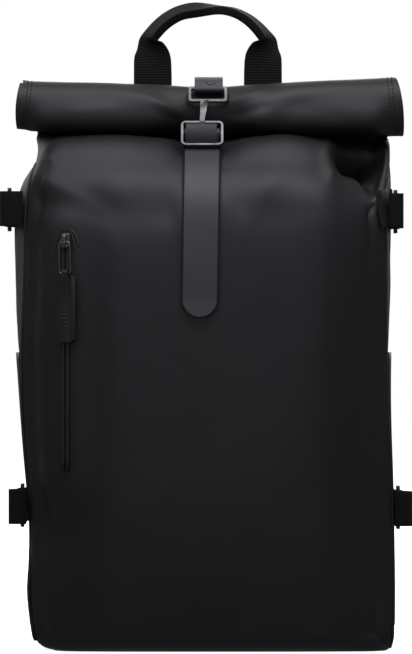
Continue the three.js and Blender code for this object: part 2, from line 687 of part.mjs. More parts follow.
function addHandle() {
  const foot = bendsBetween("backUp", ...sewnRows).map((up) => {
    const lift = clearance + webbingThick / 2;
    const y = behindBack(handleAcross + handleHalf, up, handleWidth / 2, lift);
    return { out: handleHalf, y, up, turn: 0, width: handleWidth, thick: webbingThick };
  });
  const rise = handleTable.map((r) => ({
    out: r.out * handleHalf,
    y: handleBehind,
    up: neckHeight + r.up * handleRise,
    turn: THREE.MathUtils.degToRad(r.turn),
    width: r.width * handleWidth,
    thick: r.thick * webbingThick,
  }));
  const half = [...foot, ...rise];
  const station = (way, tilt) => (s) => ({
    at: vector(handleAcross + way * s.out, s.y, s.up),
    across: vector(-way * Math.cos(s.turn), -Math.sin(s.turn), -tilt * Math.sin(s.turn) ** 4),
    width: s.width,
    thick: s.thick,
  });
  const [left, right] = [half.map(station(-1, gripTilt[0])), half.map(station(1, gripTilt[1]))];
  addPiece("carry_handle", ribbon([...left, ...right.reverse()]), webbing);
}

// The slider of the closure strap leans as the strap does, from the roll down to the front.
function makeRingFrame() {
  const half = ringWidth / 2;
  const topBack = foremost(strapAcross, ringTopHeight, half) - ringDeep / 2 - hookThick - 3 * clearance;
  const lowBack = foremost(strapAcross, ringLowHeight - 4, half) - ringDeep / 2 - 2 * layerStep - clearance;
  const rise = ringTopHeight - ringLowHeight;
  const lean = Math.min(Math.atan2(Math.max(topBack - lowBack, 0), rise), Math.acos(rise / ringHeight));
  const reach = (Math.sin(lean) * ringHeight) / 2;
  const y = Math.min(topBack - reach, lowBack + reach);
  return frameAt(vector(strapAcross, y, (ringTopHeight + ringLowHeight) / 2), rightward, leaning(lean));
}

function addRing(ring) {
  addPiece("strap_ring", ring.place(slider(ringWidth, ringHeight, ringBar, ringDeep, 5, 0.5)), gunmetal);
}

// The closure strap: sewn to the front, up round the slider's middle bar, down again as a tongue
function addClosureStrap(ring) {
  const half = strapWidth / 2;
  const flat = (z, lift, width = strapWidth) => {
    const x = lerp(strapTipAcross, strapAcross, (z - strapTipHeight) / (ringLowHeight - strapTipHeight));
    const y = beforeFront(x, z, half, lift + strapThick / 2);
    return { at: vector(x, y, z), across: rightward, width, thick: strapThick };
  };
  const atRing = ([high, out]) => ({ at: ring.at(0, high, out), across: rightward, width: strapWidth, thick: strapThick });
  const barLow = -(ringHeight - ringBar) / 2;
  const behind = -(ringDeep + strapThick) / 2 - clearance;
  const bends = bendsBetween("frontUp", strapSewnHeight, ringLowHeight - 4);
  const turn = overBar(ringBar, ringDeep, strapThick / 2 + snug);
  const tongue = 2 * clearance + layerStep;
  const tip = [0, 20, 40, 55, 68, 79, 88].map((degrees) => {
    const angle = THREE.MathUtils.degToRad(degrees);
    return flat(strapTipHeight + half * (1 - Math.sin(angle)), tongue + 2 * Math.sin(angle), strapWidth * Math.cos(angle));
  });
  const stations = [
    flat(strapSewnHeight, 2 * clearance),
    ...bends.map((z) => flat(z, 2 * clearance)),
    atRing([barLow, behind - layerStep]),
    atRing([barLow + ringBar, behind - layerStep]),
    ...turn.map(atRing),
    atRing([-0.7 * ringBar, -behind + snug - clearance]),
    atRing([barLow + 1.35 * ringBar, behind + 1.6]),
    atRing([barLow + ringBar / 2, behind]),
    atRing([barLow - ringBar / 2, behind]),
    ...bends.slice(0, -1).reverse().map((z) => flat(z, tongue)),
    flat(strapSewnHeight, tongue),
    ...tip,
  ];
  addPiece("closure_strap", ribbon(stations), rubberised);
}

// The eye of the hook lies against the roll and leans back with it.
function makeEyeFrame() {
  const high = rollTop - eyeBelow;
  const reach = (Math.sin(eyeLean) * eyeHeight) / 2;
  const rise = (Math.cos(eyeLean) * eyeHeight) / 2;
  const low = foremost(eyeAcross, high - rise, eyeWidth / 2) - hookThick / 2 - 2 * clearance;
  const top = foremost(eyeAcross, high + rise - hookThick, eyeWidth / 2) - hookThick / 2 - 3 * clearance - tabThick;
  return frameAt(vector(eyeAcross, Math.min(low + reach, top - reach), high), rightward, leaning(eyeLean));
}

// The hook: an eye for the tab, and a stem that passes in front of the slider's upper bar and curls under it.
// along goes from the eye's lower bar to the bend; across is from the middle of the bag.
const stemTable = [
  { along: 0, across: -0.3, width: 7.5 },
  { along: 0.5, across: -1.2, width: 6.2 },
  { along: 1, across: -2, width: 5 },
];
function addHook(eye, ring) {
  const slot = roundedRectangle(eyeWidth - 2 * hookThick, eyeHeight - 2 * hookThick, 1);
  const frame = eye.place(plate(roundedRectangle(eyeWidth, eyeHeight, 2.5), [slot], hookThick, 0.4, 2));
  const stemTop = eye.at(0, -(eyeHeight - hookThick) / 2, 0);
  const barUp = (ringHeight - ringBar) / 2;
  const off = hookThick / 2 + snug;
  const stemLow = ring.at(0, barUp + 6, (ringDeep + hookThick) / 2 + snug);
  const place = (at, x, width) => ({ at: at.setX(x), across: rightward, width, thick: hookThick });
  const stem = stemTable.map((row) => place(stemTop.clone().lerp(stemLow, row.along), row.across, row.width));
  const curl = underBar(ringBar, ringDeep, off).map(([high, out]) => place(ring.at(0, barUp + high, out), strapAcross, 4.4));
  const tip = place(ring.at(0, barUp + 3.5, -ringDeep / 2 - off), strapAcross, 3.8);
  addPiece("closure_hook", geometryOf(solidOf(frame).add(solidOf(ribbon([...stem, ...curl, tip])))), gunmetal);
}

// The tab: sewn to the back, over the roll, folded round the eye's upper bar.
// along goes from behind the roll to the eye; up is how much of the way up to the arch.
const archTable = [
  { along: 0.14, up: 0.55 },
  { along: 0.34, up: 0.9 },
  { along: 0.56, up: 1 },
  { along: 0.78, up: 0.86 },
  { along: 0.94, up: 0.5 },
];
function addClosureTab(eye) {
  const place = (y, z) => ({ at: vector(tabAcross, y, z), across: rightward, width: tabWidth, thick: tabThick });
  const lift = 3 * clearance + tabThick / 2;
  const onBack = [...bendsBetween("backUp", ...sewnRows), rollCentre.z - 4, rollCentre.z + 4].map((z) =>
    place(behindBack(tabAcross, z, tabWidth / 2, lift), z),
  );
  const barUp = (eyeHeight - hookThick) / 2;
  const fold = underBar(hookThick, hookThick, tabThick / 2 + snug).map(([high, out]) => {
    const at = eye.at(0, barUp + high - (high < 0 ? 0.6 : 0), out);
    return place(at.y, at.z);
  });
  const [back, front] = [onBack[onBack.length - 1].at, fold[0].at];
  const arch = archTable.map((a) => {
    const level = lerp(back.z, front.z, a.along);
    return place(lerp(back.y, front.y, a.along), lerp(level, rollTop + tabAbove, a.up));
  });
  const end = eye.at(0, barUp + 5, -(hookThick + tabThick) / 2 - snug);
  addPiece("closure_tab", ribbon([...onBack, ...arch, ...fold, place(end.y, end.z)]), rubberised);
}

// The front zip, its slider, the wire loop in the slider's bridge, and the pull folded round the loop
function addZip() {
  const heights = [zipLow, ...bendsBetween("frontUp", zipLow, zipHigh), zipHigh];
  const stations = heights.map((z) => onFront(zipAcross, z, zipWidth, zipThick, clearance));
  addPiece("front_zip", ribbon(stations), zipTape);
}

function addZipPull() {
  const sliderHeight = zipHigh - zipSliderLong / 2;
  const seat = onFront(zipAcross, sliderHeight, zipSliderWidth, zipSliderThick, 2 * clearance);
  const lower = onFront(zipAcross, sliderHeight - zipSliderLong, zipSliderWidth, zipSliderThick, clearance);
  const up = seat.at.clone().sub(lower.at).normalize();
  const onSeat = frameAt(seat.at, seat.across, up.addScaledVector(seat.across, -up.dot(seat.across)).normalize());
  const body = plate(roundedRectangle(zipSliderWidth, zipSliderLong, 2), [], zipSliderThick, 0.5, 2);
  const bridgeWay = [[-4.5, 1], [-4.5, 4], [-3, 5.2], [3, 5.2], [4.5, 4], [4.5, 1]];
  const bridge = ribbon(bridgeWay.map(([high, out]) => ({ at: vector(0, high, out), across: rightward, width: 3, thick: 1.4 })));
  addPiece("zip_slider", onSeat.place(geometryOf(solidOf(body).add(solidOf(bridge)))), gunmetal);

  const wireTop = onSeat.at(0, -2, zipSliderThick / 2 + zipWire / 2 + 0.6);
  const reach = zipLoopHeight - zipWire;
  const loopLow = onFront(zipAcross, wireTop.z - reach, zipLoopWidth, zipWire, zipPullLift + 0.7);
  const down = loopLow.at.clone().sub(wireTop).normalize();
  const loop = frameAt(wireTop.clone().addScaledVector(down, reach / 2), seat.across, down.negate());
  const outline = roundedRectangle(zipLoopWidth - zipWire, reach, zipWire).getPoints(2).slice(0, -1);
  addPiece("zip_loop", wireLoop(outline.map((p) => loop.at(p.x, p.y, 0)), loop.out, zipWire / 2), gunmetal);

  const hang = loop.at(0, -reach / 2, 0);
  const pullEnd = onFront(zipAcross, pullLow, pullWidth, pullThick, zipPullLift).at;
  const length = hang.distanceTo(pullEnd);
  const pull = frameAt(hang, seat.across, hang.clone().sub(pullEnd).normalize());
  const half = (pullThick + 0.4) / 2;
  const off = pullThick / 2 + 2 * clearance;
  const neck = zipLoopWidth - 2 * zipWire - 3;
  const layer = (along, out, width) => ({ at: pull.at(0, -along, out), across: seat.across, width, thick: pullThick });
  const side = (way) => [
    layer(length, way * half, pullWidth - 4),
    layer(length - 2, way * half, pullWidth),
    layer(length / 2, way * half, pullWidth),
    layer(9, way * half, pullWidth),
    layer(5, way * (off + zipWire / 2), neck),
  ];
  const fold = overBar(zipWire, zipWire, off).map(([high, out]) => layer(-high, -out, neck));
  addPiece("zip_pull", ribbon([...side(1), ...fold, ...side(-1).reverse()]), rubberised);
}

// Side straps: from the front seam out and back along the gusset, through a slider, to the back seam
// up is a share of neckHeight, and out, from the seam, of sideStrapWidth.
const sideStraps = [
  { name: "upper_left", side: -1, up: 0.83, out: 0.72 },
  { name: "upper_right", side: 1, up: 0.826, out: 0.47 },
  { name: "lower_left", side: -1, up: 0.271, out: 0.56 },
  { name: "lower_right", side: 1, up: 0.267, out: 0.56 },
];

function addSideStrap({ name, side, up, out }) {
  const height = up * neckHeight;
  const proud = out * sideStrapWidth;
  const half = sideStrapWidth / 2;
  const seams = spread(height, half).map((z) => gussetAt(side, 0, rowAtHeight(z)));
  const edge = Math.max(...seams.map((p) => Math.abs(p.x)));
  const frontY = Math.min(...seams.map((p) => p.y));
  const depth = gussetAt(side, 1, rowAtHeight(height)).y - frontY;
  const lift = clearance + sideStrapThick / 2;
  const middleY = frontY + depth * 0.52;
  const over = (y) => outermost(side, y, height, half);
  const weave = (sideSliderThick + sideStrapThick) / 2 + snug;
  const middleX = Math.max(...spread(middleY, sideSliderLong / 2).map(over)) + weave + lift + 0.4;
  const reach = edge + proud;
  const ends = sideSliderLong / 2;
  const bar = sideSliderBar;
  const way = [
    [edge + 2.6, frontY + 1.5],
    [edge + proud * 0.45, frontY - 0.5],
    [reach - 3.5, frontY + 0.6],
    [reach - 0.8, frontY + 3],
    [reach, frontY + 7],
    [lerp(reach, middleX - weave, 0.5), lerp(frontY + 7, middleY - ends, 0.55)],
    [middleX - weave, middleY - ends - bar],
    [middleX - weave, middleY - ends + bar + snug],
    [middleX + weave, middleY - bar / 2 - snug],
    [middleX + weave, middleY + bar / 2 + snug],
    [middleX - weave, middleY + ends - bar - snug],
    [middleX - weave, middleY + ends + bar],
    ...[0.8, 0.932, 0.985].map((share) => [over(frontY + depth * share) + lift + snug, frontY + depth * share]),
  ];
  const stations = way.map(([x, y]) => ({
    at: vector(side * x, y, height),
    across: upward,
    width: sideStrapWidth,
    thick: sideStrapThick,
  }));
  addPiece(`side_strap_${name}`, ribbon(stations), webbing);
  const shape = slider(sideStrapWidth + 2 * bar + 1, sideSliderLong, bar, sideSliderThick, 2.5, 0).rotateZ(Math.PI / 2);
  const stood = frameAt(vector(side * middleX, middleY, height), vector(0, side, 0), upward);
  addPiece(`side_slider_${name}`, stood.place(shape), plastic);
}

// Back: a pad, and on each side a padded shoulder strap with an adjuster and webbing down to the base
function addBackPad() {
  const heights = [0, 0.25, 0.5, 0.75, 1].map((u) => lerp(backPadLow, backPadHigh, u));
  const y = Math.max(...heights.map((z) => hindmost(0, z, backPadWidth / 2)));
  const shape = plate(roundedRectangle(backPadWidth, backPadHigh - backPadLow, 34), [], backPadThick, 2.5, 3);
  const centre = vector(0, y + clearance + backPadThick / 2, (backPadLow + backPadHigh) / 2);
  addPiece("back_pad", frameAt(centre, vector(-1, 0, 0), upward).place(shape), padding);
}

// across is a share of shoulderAcross, off, from the strap's upper end backwards, of shoulderProud, up of neckHeight,
// and width and thick of shoulderWidth and shoulderThick.
const shoulderTable = [
  { across: 1, off: 0, up: 0.8789, width: 0.7, thick: 0.8 },
  { across: 1, off: 0.131, up: 0.9035, width: 0.8, thick: 1 },
  { across: 1.03, off: 0.393, up: 0.9158, width: 0.9, thick: 1 },
  { across: 1.12, off: 0.656, up: 0.8912, width: 1, thick: 1 },
  { across: 1.27, off: 0.869, up: 0.8316, width: 1, thick: 1 },
  { across: 1.48, off: 0.984, up: 0.7433, width: 1, thick: 1 },
  { across: 1.68, off: 1, up: 0.6407, width: 1, thick: 1 },
  { across: 1.85, off: 0.918, up: 0.538, width: 0.95, thick: 1 },
  { across: 1.99, off: 0.77, up: 0.4394, width: 0.86, thick: 1 },
  { across: 2.08, off: 0.656, up: 0.3737, width: 0.7, thick: 0.9 },
];
function addShoulderStrap(side, name) {
  const sewnHeight = shoulderTable[0].up * neckHeight;
  const foot = hindmost(side * shoulderAcross, sewnHeight, shoulderWidth / 2) + 2 * clearance + shoulderThick / 2;
  const padded = shoulderTable.map((r) => ({
    at: vector(side * r.across * shoulderAcross, foot + r.off * shoulderProud, r.up * neckHeight),
    across: rightward,
    width: r.width * shoulderWidth,
    thick: r.thick * shoulderThick,
  }));
  const end = padded[padded.length - 1].at;
  const anchorX = side * anchorAcross;
  const anchorY = behindBack(anchorX, anchorHeight, shoulderWebbing / 2, 4 * clearance + webbingThick);
  const anchor = vector(anchorX, anchorY, anchorHeight);
  const up = end.clone().sub(anchor).normalize();
  const lock = frameAt(end.clone().addScaledVector(up, -28), vector(-1, 0, 0), up);
  const level = lock.right.clone().negate();
  const lockWidth = shoulderWebbing + 2 * adjusterBar + 1;
  const shape = slider(lockWidth, adjusterLong, adjusterBar, adjusterThick, 2.5, 0);
  addPiece(`strap_adjuster_${name}`, lock.place(shape), plastic);

  const inLock = (thick) => ([high, out]) => ({ at: lock.at(0, high, out), across: level, width: shoulderWebbing, thick });
  const barUp = (adjusterLong - adjusterBar) / 2;
  const endOff = shoulderEndThick / 2 + snug;
  const endOut = adjusterThick / 2 + endOff;
  const wrap = underBar(adjusterBar, adjusterThick, endOff).map(([high, out]) => [barUp + high, out]);
  const folded = [[barUp + 7, endOut], ...wrap, [barUp + 8, -endOut]].map(inLock(shoulderEndThick));
  addPiece(`shoulder_strap_${name}`, ribbon([...padded, ...folded], paddedSection), padding);

  const off = webbingThick / 2 + snug;
  const behind = -adjusterThick / 2 - off;
  const under = behind - webbingThick - clearance;
  const way = [
    [-barUp - adjusterBar, under],
    [-barUp + adjusterBar, under],
    ...overBar(adjusterBar, adjusterThick, off),
    [-0.7 * adjusterBar, -behind],
    [-barUp + 1.4 * adjusterBar, behind + 1.2],
    [-barUp + adjusterBar / 2, behind],
    [-barUp - adjusterBar, behind],
    [-barUp - 20, behind + 3],
    [-barUp - 52, behind + 6],
  ].map(inLock(webbingThick));
  const low = { at: anchor, across: rightward, width: shoulderWebbing, thick: webbingThick };
  const rising = { ...low, at: anchor.clone().lerp(way[0].at, 0.2).add(vector(0, backPadThick / 2, 0)), across: level };
  addPiece(`strap_webbing_${name}`, ribbon([low, rising, ...way]), webbing);
}

addPanels();
addBase();
addSidePockets();
addHandle();
const ring = makeRingFrame();
const eye = makeEyeFrame();
addRing(ring);
addClosureStrap(ring);
addHook(eye, ring);
addClosureTab(eye);
addZip();
addZipPull();
sideStraps.forEach(addSideStrap);
addBackPad();
addShoulderStrap(-1, "left");
addShoulderStrap(1, "right");

export default bag;
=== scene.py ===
import itertools
import math

import bmesh
import bpy
from mathutils import Matrix, Vector, noise
from mathutils.bvhtree import BVHTree
from mathutils.kdtree import KDTree


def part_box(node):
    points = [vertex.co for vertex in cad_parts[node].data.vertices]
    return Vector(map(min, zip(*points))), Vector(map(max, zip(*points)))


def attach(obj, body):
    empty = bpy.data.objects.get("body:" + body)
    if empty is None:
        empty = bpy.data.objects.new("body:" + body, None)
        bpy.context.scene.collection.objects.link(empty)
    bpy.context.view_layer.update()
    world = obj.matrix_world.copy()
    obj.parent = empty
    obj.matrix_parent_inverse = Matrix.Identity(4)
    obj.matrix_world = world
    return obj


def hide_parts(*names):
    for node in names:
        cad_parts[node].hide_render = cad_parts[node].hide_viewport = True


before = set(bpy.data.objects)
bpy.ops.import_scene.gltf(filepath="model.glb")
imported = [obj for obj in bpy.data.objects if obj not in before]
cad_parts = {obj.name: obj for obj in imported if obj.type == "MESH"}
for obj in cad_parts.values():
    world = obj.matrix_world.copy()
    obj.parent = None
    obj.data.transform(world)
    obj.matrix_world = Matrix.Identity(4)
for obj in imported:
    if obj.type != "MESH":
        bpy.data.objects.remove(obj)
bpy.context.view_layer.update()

bl_info = {
    "name": "Rolltop backpack",
    "version": (1, 0, 0),
    "blender": (4, 5, 0),
    "location": "View3D > Sidebar > Backpack",
    "description": "Dresses the packed rolltop backpack in fabric, webbing, metal and padding",
    "category": "Object",
}

BODY = "root"
MM = 0.001

# The picture, seen level from the front: its rows of pixels, a pixel's size and the place in its middle
PICTURE_ROWS = 654
PIXEL = 0.92 * MM
PICTURE_HIGH = PICTURE_ROWS * PIXEL
PICTURE_CENTRE = Vector((0.9 * MM, 0, 296 * MM))
# Level rays from the front start here
RAY_START = -0.5

# The studio's softboxes: name, place, target, width and height, and the setting that holds their power
SOFTBOXES = [
    ("left_light", (-1.8, 2.5, 1.5), (0, 0, 0.3), (1.3, 1.3), "side_light"),
    ("right_light", (1.8, 2.5, 1.5), (0, 0, 0.3), (1.3, 1.3), "side_light"),
    ("back_light", (0, 3.4, 1.3), (0, 0, 0.3), (1.8, 1.2), "back_light"),
    ("top_light", (0, -0.45, 1.45), (0, 0, 0.45), (1.4, 0.9), "top_light"),
    ("front_light", (0, -6.6, 1.05), (0, 0, 0.3), (3.0, 2.0), "front_light"),
    ("floor_light", (0, 4.8, 3.0), (0, 4.8, 0), (8.0, 6.4), "floor_light"),
]
SENSOR_WIDE = 36
# The floor glows a little, to stay pale far from the lamps, and doesn't light the bag from below
FLOOR_REACH = 14.0
FLOOR_GLOW = 0.88

# Begins the names of the materials made here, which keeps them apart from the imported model's own
LOOK = "bag_"
# The coat's reflections lean to violet
SHEEN_TINT = (0.96, 0.93, 1.0, 1)
# The map across and along a strap, and the lengths of the patterns woven in webbing and in zip tape
STRAP_MAP = "strap"
WEBBING_RIB = 2.4 * MM
WEBBING_TWILL = 1.6 * MM
TAPE_LINE = 1.2 * MM

# Fabric walls: their thickness, the widest face on a rim, and how many times they are subdivided
FABRIC_THICK = 1.2 * MM
RIM_FACE = 1.25 * FABRIC_THICK
CLOTH_LEVELS = 3
# The seams hold the cloth at its rim and let it go over this much
RIM_HELD = 24 * MM
# The small unevenness of soft cloth, by height and size: on the front, back and roll, and on the sides
WRINKLES = (0.7 * MM, 55 * MM)
SIDE_WRINKLES = (1.2 * MM, 70 * MM)
# A finer unevenness lies over it, with these shares of its height and size
FINE_HEIGHT = 0.3
FINE_SIZE = 0.35
# How sharply a crease ends, and how sharply it falls off beside its line
CREASE_END = 0.6
CREASE_SIDE = 1.6

# Soft shapes of the front sheet, in millimetres on the picture's plane: where, half width and height, turn in
# degrees, and how far out (or in, where negative)
FRONT_SWELLS = [
    # x, z, wide, tall, turn, out
    (-92, 462, 76, 13, 2, 9),
    (70, 462, 46, 13, -2, 9),
    (-78, 330, 18, 150, 0, 1.5),
    (-98, 408, 34, 16, -40, -2.5),
    (0, 405, 120, 20, 0, -3),
    (-20, 424, 12, 34, 24, 1.6),
    (52, 420, 14, 40, -30, 2.2),
    (96, 300, 22, 170, 0, 1.5),
    (-6, 458, 24, 12, 0, -5),
    (142, 453, 18, 11, 4, -44),
    (160, 440, 16, 20, -20, -9),
    (115, 448, 6, 16, 6, 6),
    (-120, 210, 10, 50, 0, 3),
    (-150, 104, 22, 9, -20, -5),
]
# Creases: from, to, half width, how far out
FRONT_CREASES = [
    # x, z, x, z, wide, out
    (-170, 120, -136, 92, 5, 2.2),
    (-160, 128, -128, 108, 5, -1.8),
    (130, 468, 168, 462, 5, 6),
    (132, 440, 160, 410, 8, 5),
    (146, 440, 168, 420, 5, -3),
    (-150, 456, -174, 420, 4, 3),
    (-142, 448, -166, 410, 4, -2.4),
    (-168, 330, -160, 262, 4, -2),
    (-162, 325, -152, 254, 4, 2),
    (-138, 378, -128, 330, 5, 2),
    (-144, 372, -150, 330, 5, -2),
    (-20, 396, -34, 340, 6, -1),
    (22, 392, 40, 330, 7, -1),
    (164, 330, 167, 280, 4, -1.6),
]
# The same on the roll, which the strap pinches in the middle
ROLL_SWELLS = [
    # x, z, wide, tall, turn, out
    (-34, 486, 24, 10, -30, 4),
    (40, 486, 26, 10, 26, 4),
    (-60, 506, 44, 9, -16, 2),
    (64, 506, 48, 9, 14, 2),
    (2, 496, 14, 16, 0, -3),
]
ROLL_CREASES = [
    # x, z, x, z, wide, out
    (-58, 508, -20, 490, 5, 2.2),
    (-50, 498, -18, 481, 4, -1.8),
    (18, 500, 54, 514, 5, 2.2),
    (22, 488, 62, 500, 4, -1.8),
    (-130, 492, -60, 500, 9, 1.2),
    (70, 498, 140, 488, 9, -1.2),
]

# The heights between which the walls give way to the roll
NECK_LOW = 466 * MM
NECK_HIGH = 480 * MM
# How far a face has to be turned forwards to be shaped a little, and in full
FRONT_FACING = (0.0, 0.3)
ROLL_FACING = (-0.2, 0.4)
# Between these heights the cloth is held under the closure strap, and above them it only dents inwards there
STRAP_FOOT = 290 * MM
STRAP_FREE = 440 * MM
# Half the width that is held under the closure strap, and where the cloth is free again; the same at the zip
STRAP_BED = (19 * MM, 34 * MM)
ZIP_BED = (7 * MM, 52 * MM)
# Where the front turns away to each side: how far from the middle, how much further out at the shoulder, and
# the two heights between which the shoulder begins
TURNS = {
    -1: (84 * MM, 80 * MM, 392 * MM, 452 * MM),
    1: (104 * MM, 20 * MM, 420 * MM, 452 * MM),
}
TURN_WIDE = 64 * MM
TURN_DEEP = 11 * MM
# The roll is fullest low down at its front, beside the strap that pinches it
ROLL_CHIN = 8 * MM
ROLL_CHIN_TALL = 14 * MM
ROLL_CHIN_HEIGHT = 484 * MM
ROLL_PINCH = (24 * MM, 56 * MM)
# The roll's middle line, and a distance from it that is outside the roll
ROLL_CENTRE = Vector((0, 1.6 * MM, 496 * MM))
ROLL_OUTSIDE = 80 * MM

# Stitching: small rounded threads laid on a surface
STITCH_LONG = 3.0 * MM
STITCH_STEP = 4.2 * MM
STITCH_THICK = 1.0 * MM
STITCH_LIFT = 0.1 * MM
# The stitch lines of the roll's hems: from the roll's end, how far they lean, and their angles in degrees
HEM_INSETS = (13 * MM, 9.5 * MM)
HEM_LEAN = 3 * MM
HEM_ANGLES = (20, 255)
HEM_STEPS = 60

# Seams: the heights between which they are piped, and how far from the middle they lie at least
SEAM_FOOT = 3 * MM
SEAM_TOP = 455 * MM
SEAM_ACROSS = 100 * MM
SEAM_OUT = 20 * MM
# The welt: its thickness, how deep its middle lies, and the steps between two places
PIPING = 2.6 * MM
PIPING_SUNK = 0.3 * MM
PIPING_STEPS = 4

# The two sides, and the four places that have a side strap
SIDES = ("left", "right")
CORNERS = [f"{row}_{side}" for row in ("upper", "lower") for side in SIDES]
# Straps: what each stands for, its name and its material
STRAPS = [
    ("carry_handle", "handle", "webbing"),
    ("closure_strap", "tongue", "rubberised_fabric"),
    ("closure_tab", "roll_tab", "rubberised_fabric"),
    *((f"side_strap_{corner}", f"side_webbing_{corner}", "webbing") for corner in CORNERS),
    *((f"strap_webbing_{side}", f"shoulder_webbing_{side}", "webbing") for side in SIDES),
]
# Steps between two cross-sections, and how round the edges are
STRAP_STEPS = 5
STRAP_EDGE = 0.35 * MM
SOFT_ANGLE = 0.6
# The tongue's lower layer, a real second layer made a little wider and in the darker coated cloth, so that it
# shows as a painted shadow line along the tongue's sides
SHADOW_LINE_WIDER = 1.5 * MM
EDGE_SHARE = 0.45
# The handle's webbing is folded double over the grip, from one height to another
GRIP_LOW = 545 * MM
GRIP_HIGH = 565 * MM
GRIP_THICKER = 1.7
# The strap's turn in the slider: the slider's bar as a share of its height, from where to where across, how
# far it stands out over the middle bar, how deep it lies at its two ends, and how thick it is
BAR_SHARE = 0.13
LOOP_ACROSS = (-17.5 * MM, 10.8 * MM)
LOOP_BULGE = 2.4 * MM
LOOP_SUNK = 1.0 * MM
LOOP_THICK = 1.6 * MM
LOOP_RINGS = 8
# The slit in the tab, drawn as a thin dark strip on the tab's face whose dark is painted shade of the
# opening: its middle and width in the picture's plane, its sag, its thickness and its height
MARK_AT = (5 * MM, 518.6 * MM)
MARK_WIDE = 9 * MM
MARK_SAG = 2.4 * MM
MARK_STEPS = 12
SLIT_THICK = 0.7 * MM
SLIT_LIFT = 0.12 * MM
# The upper right side strap's folded end, which lies on the front: its corners in the picture's plane, in
# millimetres, its thickness, how far it clears the cloth, and how round its edges are
FOLDED_END = ((155, 420), (172, 423), (161, 386), (177, 393))
FOLDED_END_THICK = 3.0 * MM
FOLDED_END_CLEAR = 0.6 * MM
FOLDED_END_EDGE = 0.8 * MM
FOLDED_END_STEPS = 8

# The zip, by shares of its width: where the left lip ends and the right one begins, and the coil between them
ZIP_LIPS = (0.46, 0.54)
ZIP_COIL = (0.47, 0.53)
ZIP_COIL_DEEP = 0.5
ZIP_LIP_SWELL = 0.5 * MM
ZIP_STEPS = 4
# Small folds of cloth gathered round the zip's top, each by its places in the picture's plane, in millimetres
GATHERS = [
    ((-129, 384), (-133, 379), (-136, 370), (-137, 361)),
    ((-127, 385), (-129, 379), (-132, 371), (-133, 364)),
    ((-124, 385), (-121, 380), (-119, 373), (-118, 366)),
    ((-122, 384), (-118, 380), (-116, 374), (-115, 370)),
]
GATHER_THICK = 2.0 * MM
GATHER_STEPS = 3
# The pull's second layer: how far it goes under the first, how far it stands out, and how much shorter it is
PULL_BACK_UNDER = 2.0 * MM
PULL_BACK_OUT = 2.2 * MM
PULL_BACK_SHORTER = 2.0 * MM
# Grip ribs on the lower half of the zip's pull
RIBS = 6
RIB_FOOT = 8 * MM
RIB_STEP = 3.4 * MM
RIB_SIZE = Vector((6.0, 0.9, 1.3)) * MM

# Fittings, by their material, and how round the edges of small parts are
FITTINGS = {
    "gunmetal": ["strap_ring", "closure_hook", "zip_slider", "zip_loop"],
    "rubberised_fabric": ["zip_pull"],
    "plastic": [f"side_slider_{corner}" for corner in CORNERS] + [f"strap_adjuster_{side}" for side in SIDES],
}
SMALL_EDGE = 0.4 * MM

# Pads: what each stands for, its name, the size of its facets, and how far it may swell
PADS = [
    ("back_pad", "back_padding", 4.5 * MM, 6 * MM),
    *((f"shoulder_strap_{side}", f"shoulder_padding_{side}", 3.5 * MM, 4 * MM) for side in SIDES),
]
PAD_PRESSURE = 4
PAD_STEPS = 20


# Shaders: a socket that can be used in Python expressions
class Value:
    """A number or colour on a socket. Arithmetic on it adds Math nodes."""

    def __init__(self, finish, socket):
        self.finish = finish
        self.socket = socket

    def math(self, operation, *others):
        """The result of a Math node on this value and others."""
        return self.finish.node("ShaderNodeMath", {"operation": operation}, dict(enumerate([self, *others])))

    def __add__(self, other):
        return self.math("ADD", other)

    def __radd__(self, other):
        return self.math("ADD", other)

    def __mul__(self, other):
        return self.math("MULTIPLY", other)

    def __sub__(self, other):
        return self.math("SUBTRACT", other)

    def smooth(self, low, high):
        """0 below low, 1 above high, and a soft step between them."""
        return self.finish.node(
            "ShaderNodeMapRange",
            {"interpolation_type": "SMOOTHSTEP"},
            {"Value": self, "From Min": low, "From Max": high},
        )

    def wave(self, length):
        """From 0 to 1 and back once in each length."""
        return (self * (2 * math.pi / length)).math("SINE") * 0.5 + 0.5


class Finish:
    """A material under construction round one Principled shader."""

    def __init__(self, name, **uniform):
        self.material = bpy.data.materials.new(LOOK + name)
        self.material.use_nodes = True
        self.tree = self.material.node_tree
        self.shader = self.tree.nodes["Principled BSDF"]
        for socket, value in uniform.items():
            self.shader.inputs[socket.replace("_", " ")].default_value = value

    def node(self, kind, settings=None, sockets=None, output=0):
        """Adds a node of a type, with its settings and the values or links of its sockets."""
        made = self.tree.nodes.new(kind)
        for name, value in (settings or {}).items():
            setattr(made, name, value)
        for name, value in (sockets or {}).items():
            if isinstance(value, Value):
                self.tree.links.new(value.socket, made.inputs[name])
            else:
                made.inputs[name].default_value = value
        return Value(self, made.outputs[output])

    def feed(self, name, value):
        """Links a value to a socket of the shader."""
        self.tree.links.new(value.socket, self.shader.inputs[name])

    def place(self):
        """The piece's own coordinates, in metres."""
        return self.node("ShaderNodeTexCoord", output="Object")

    def along(self):
        """A strap's own coordinates: x across it and y along it, in metres."""
        return self.node("ShaderNodeUVMap", {"uv_map": STRAP_MAP})

    def axis(self, vector, name):
        """One coordinate of a vector."""
        return self.node("ShaderNodeSeparateXYZ", None, {"Vector": vector}, output=name)

    def noise(self, vector, scale, detail):
        """Soft noise, from 0 to 1."""
        return self.node("ShaderNodeTexNoise", None, {"Vector": vector, "Scale": scale, "Detail": detail})

    def mix(self, factor, dark, light):
        """A colour between two, by a factor."""
        return self.node("ShaderNodeMix", {"data_type": "RGBA"}, {0: factor, 6: dark, 7: light}, output=2)

    def bump(self, height, strength, distance):
        """A normal that follows a height."""
        sockets = {"Height": height, "Strength": strength, "Distance": distance}
        return self.node("ShaderNodeBump", None, sockets)


def grey(level, green=1.0, blue=1.06):
    """A grey colour, with its shares of green and blue."""
    return (level, level * green, level * blue, 1)


def coat_black(level):
    """The coat's black, which leans to violet."""
    return grey(level, 0.95, 1.16)


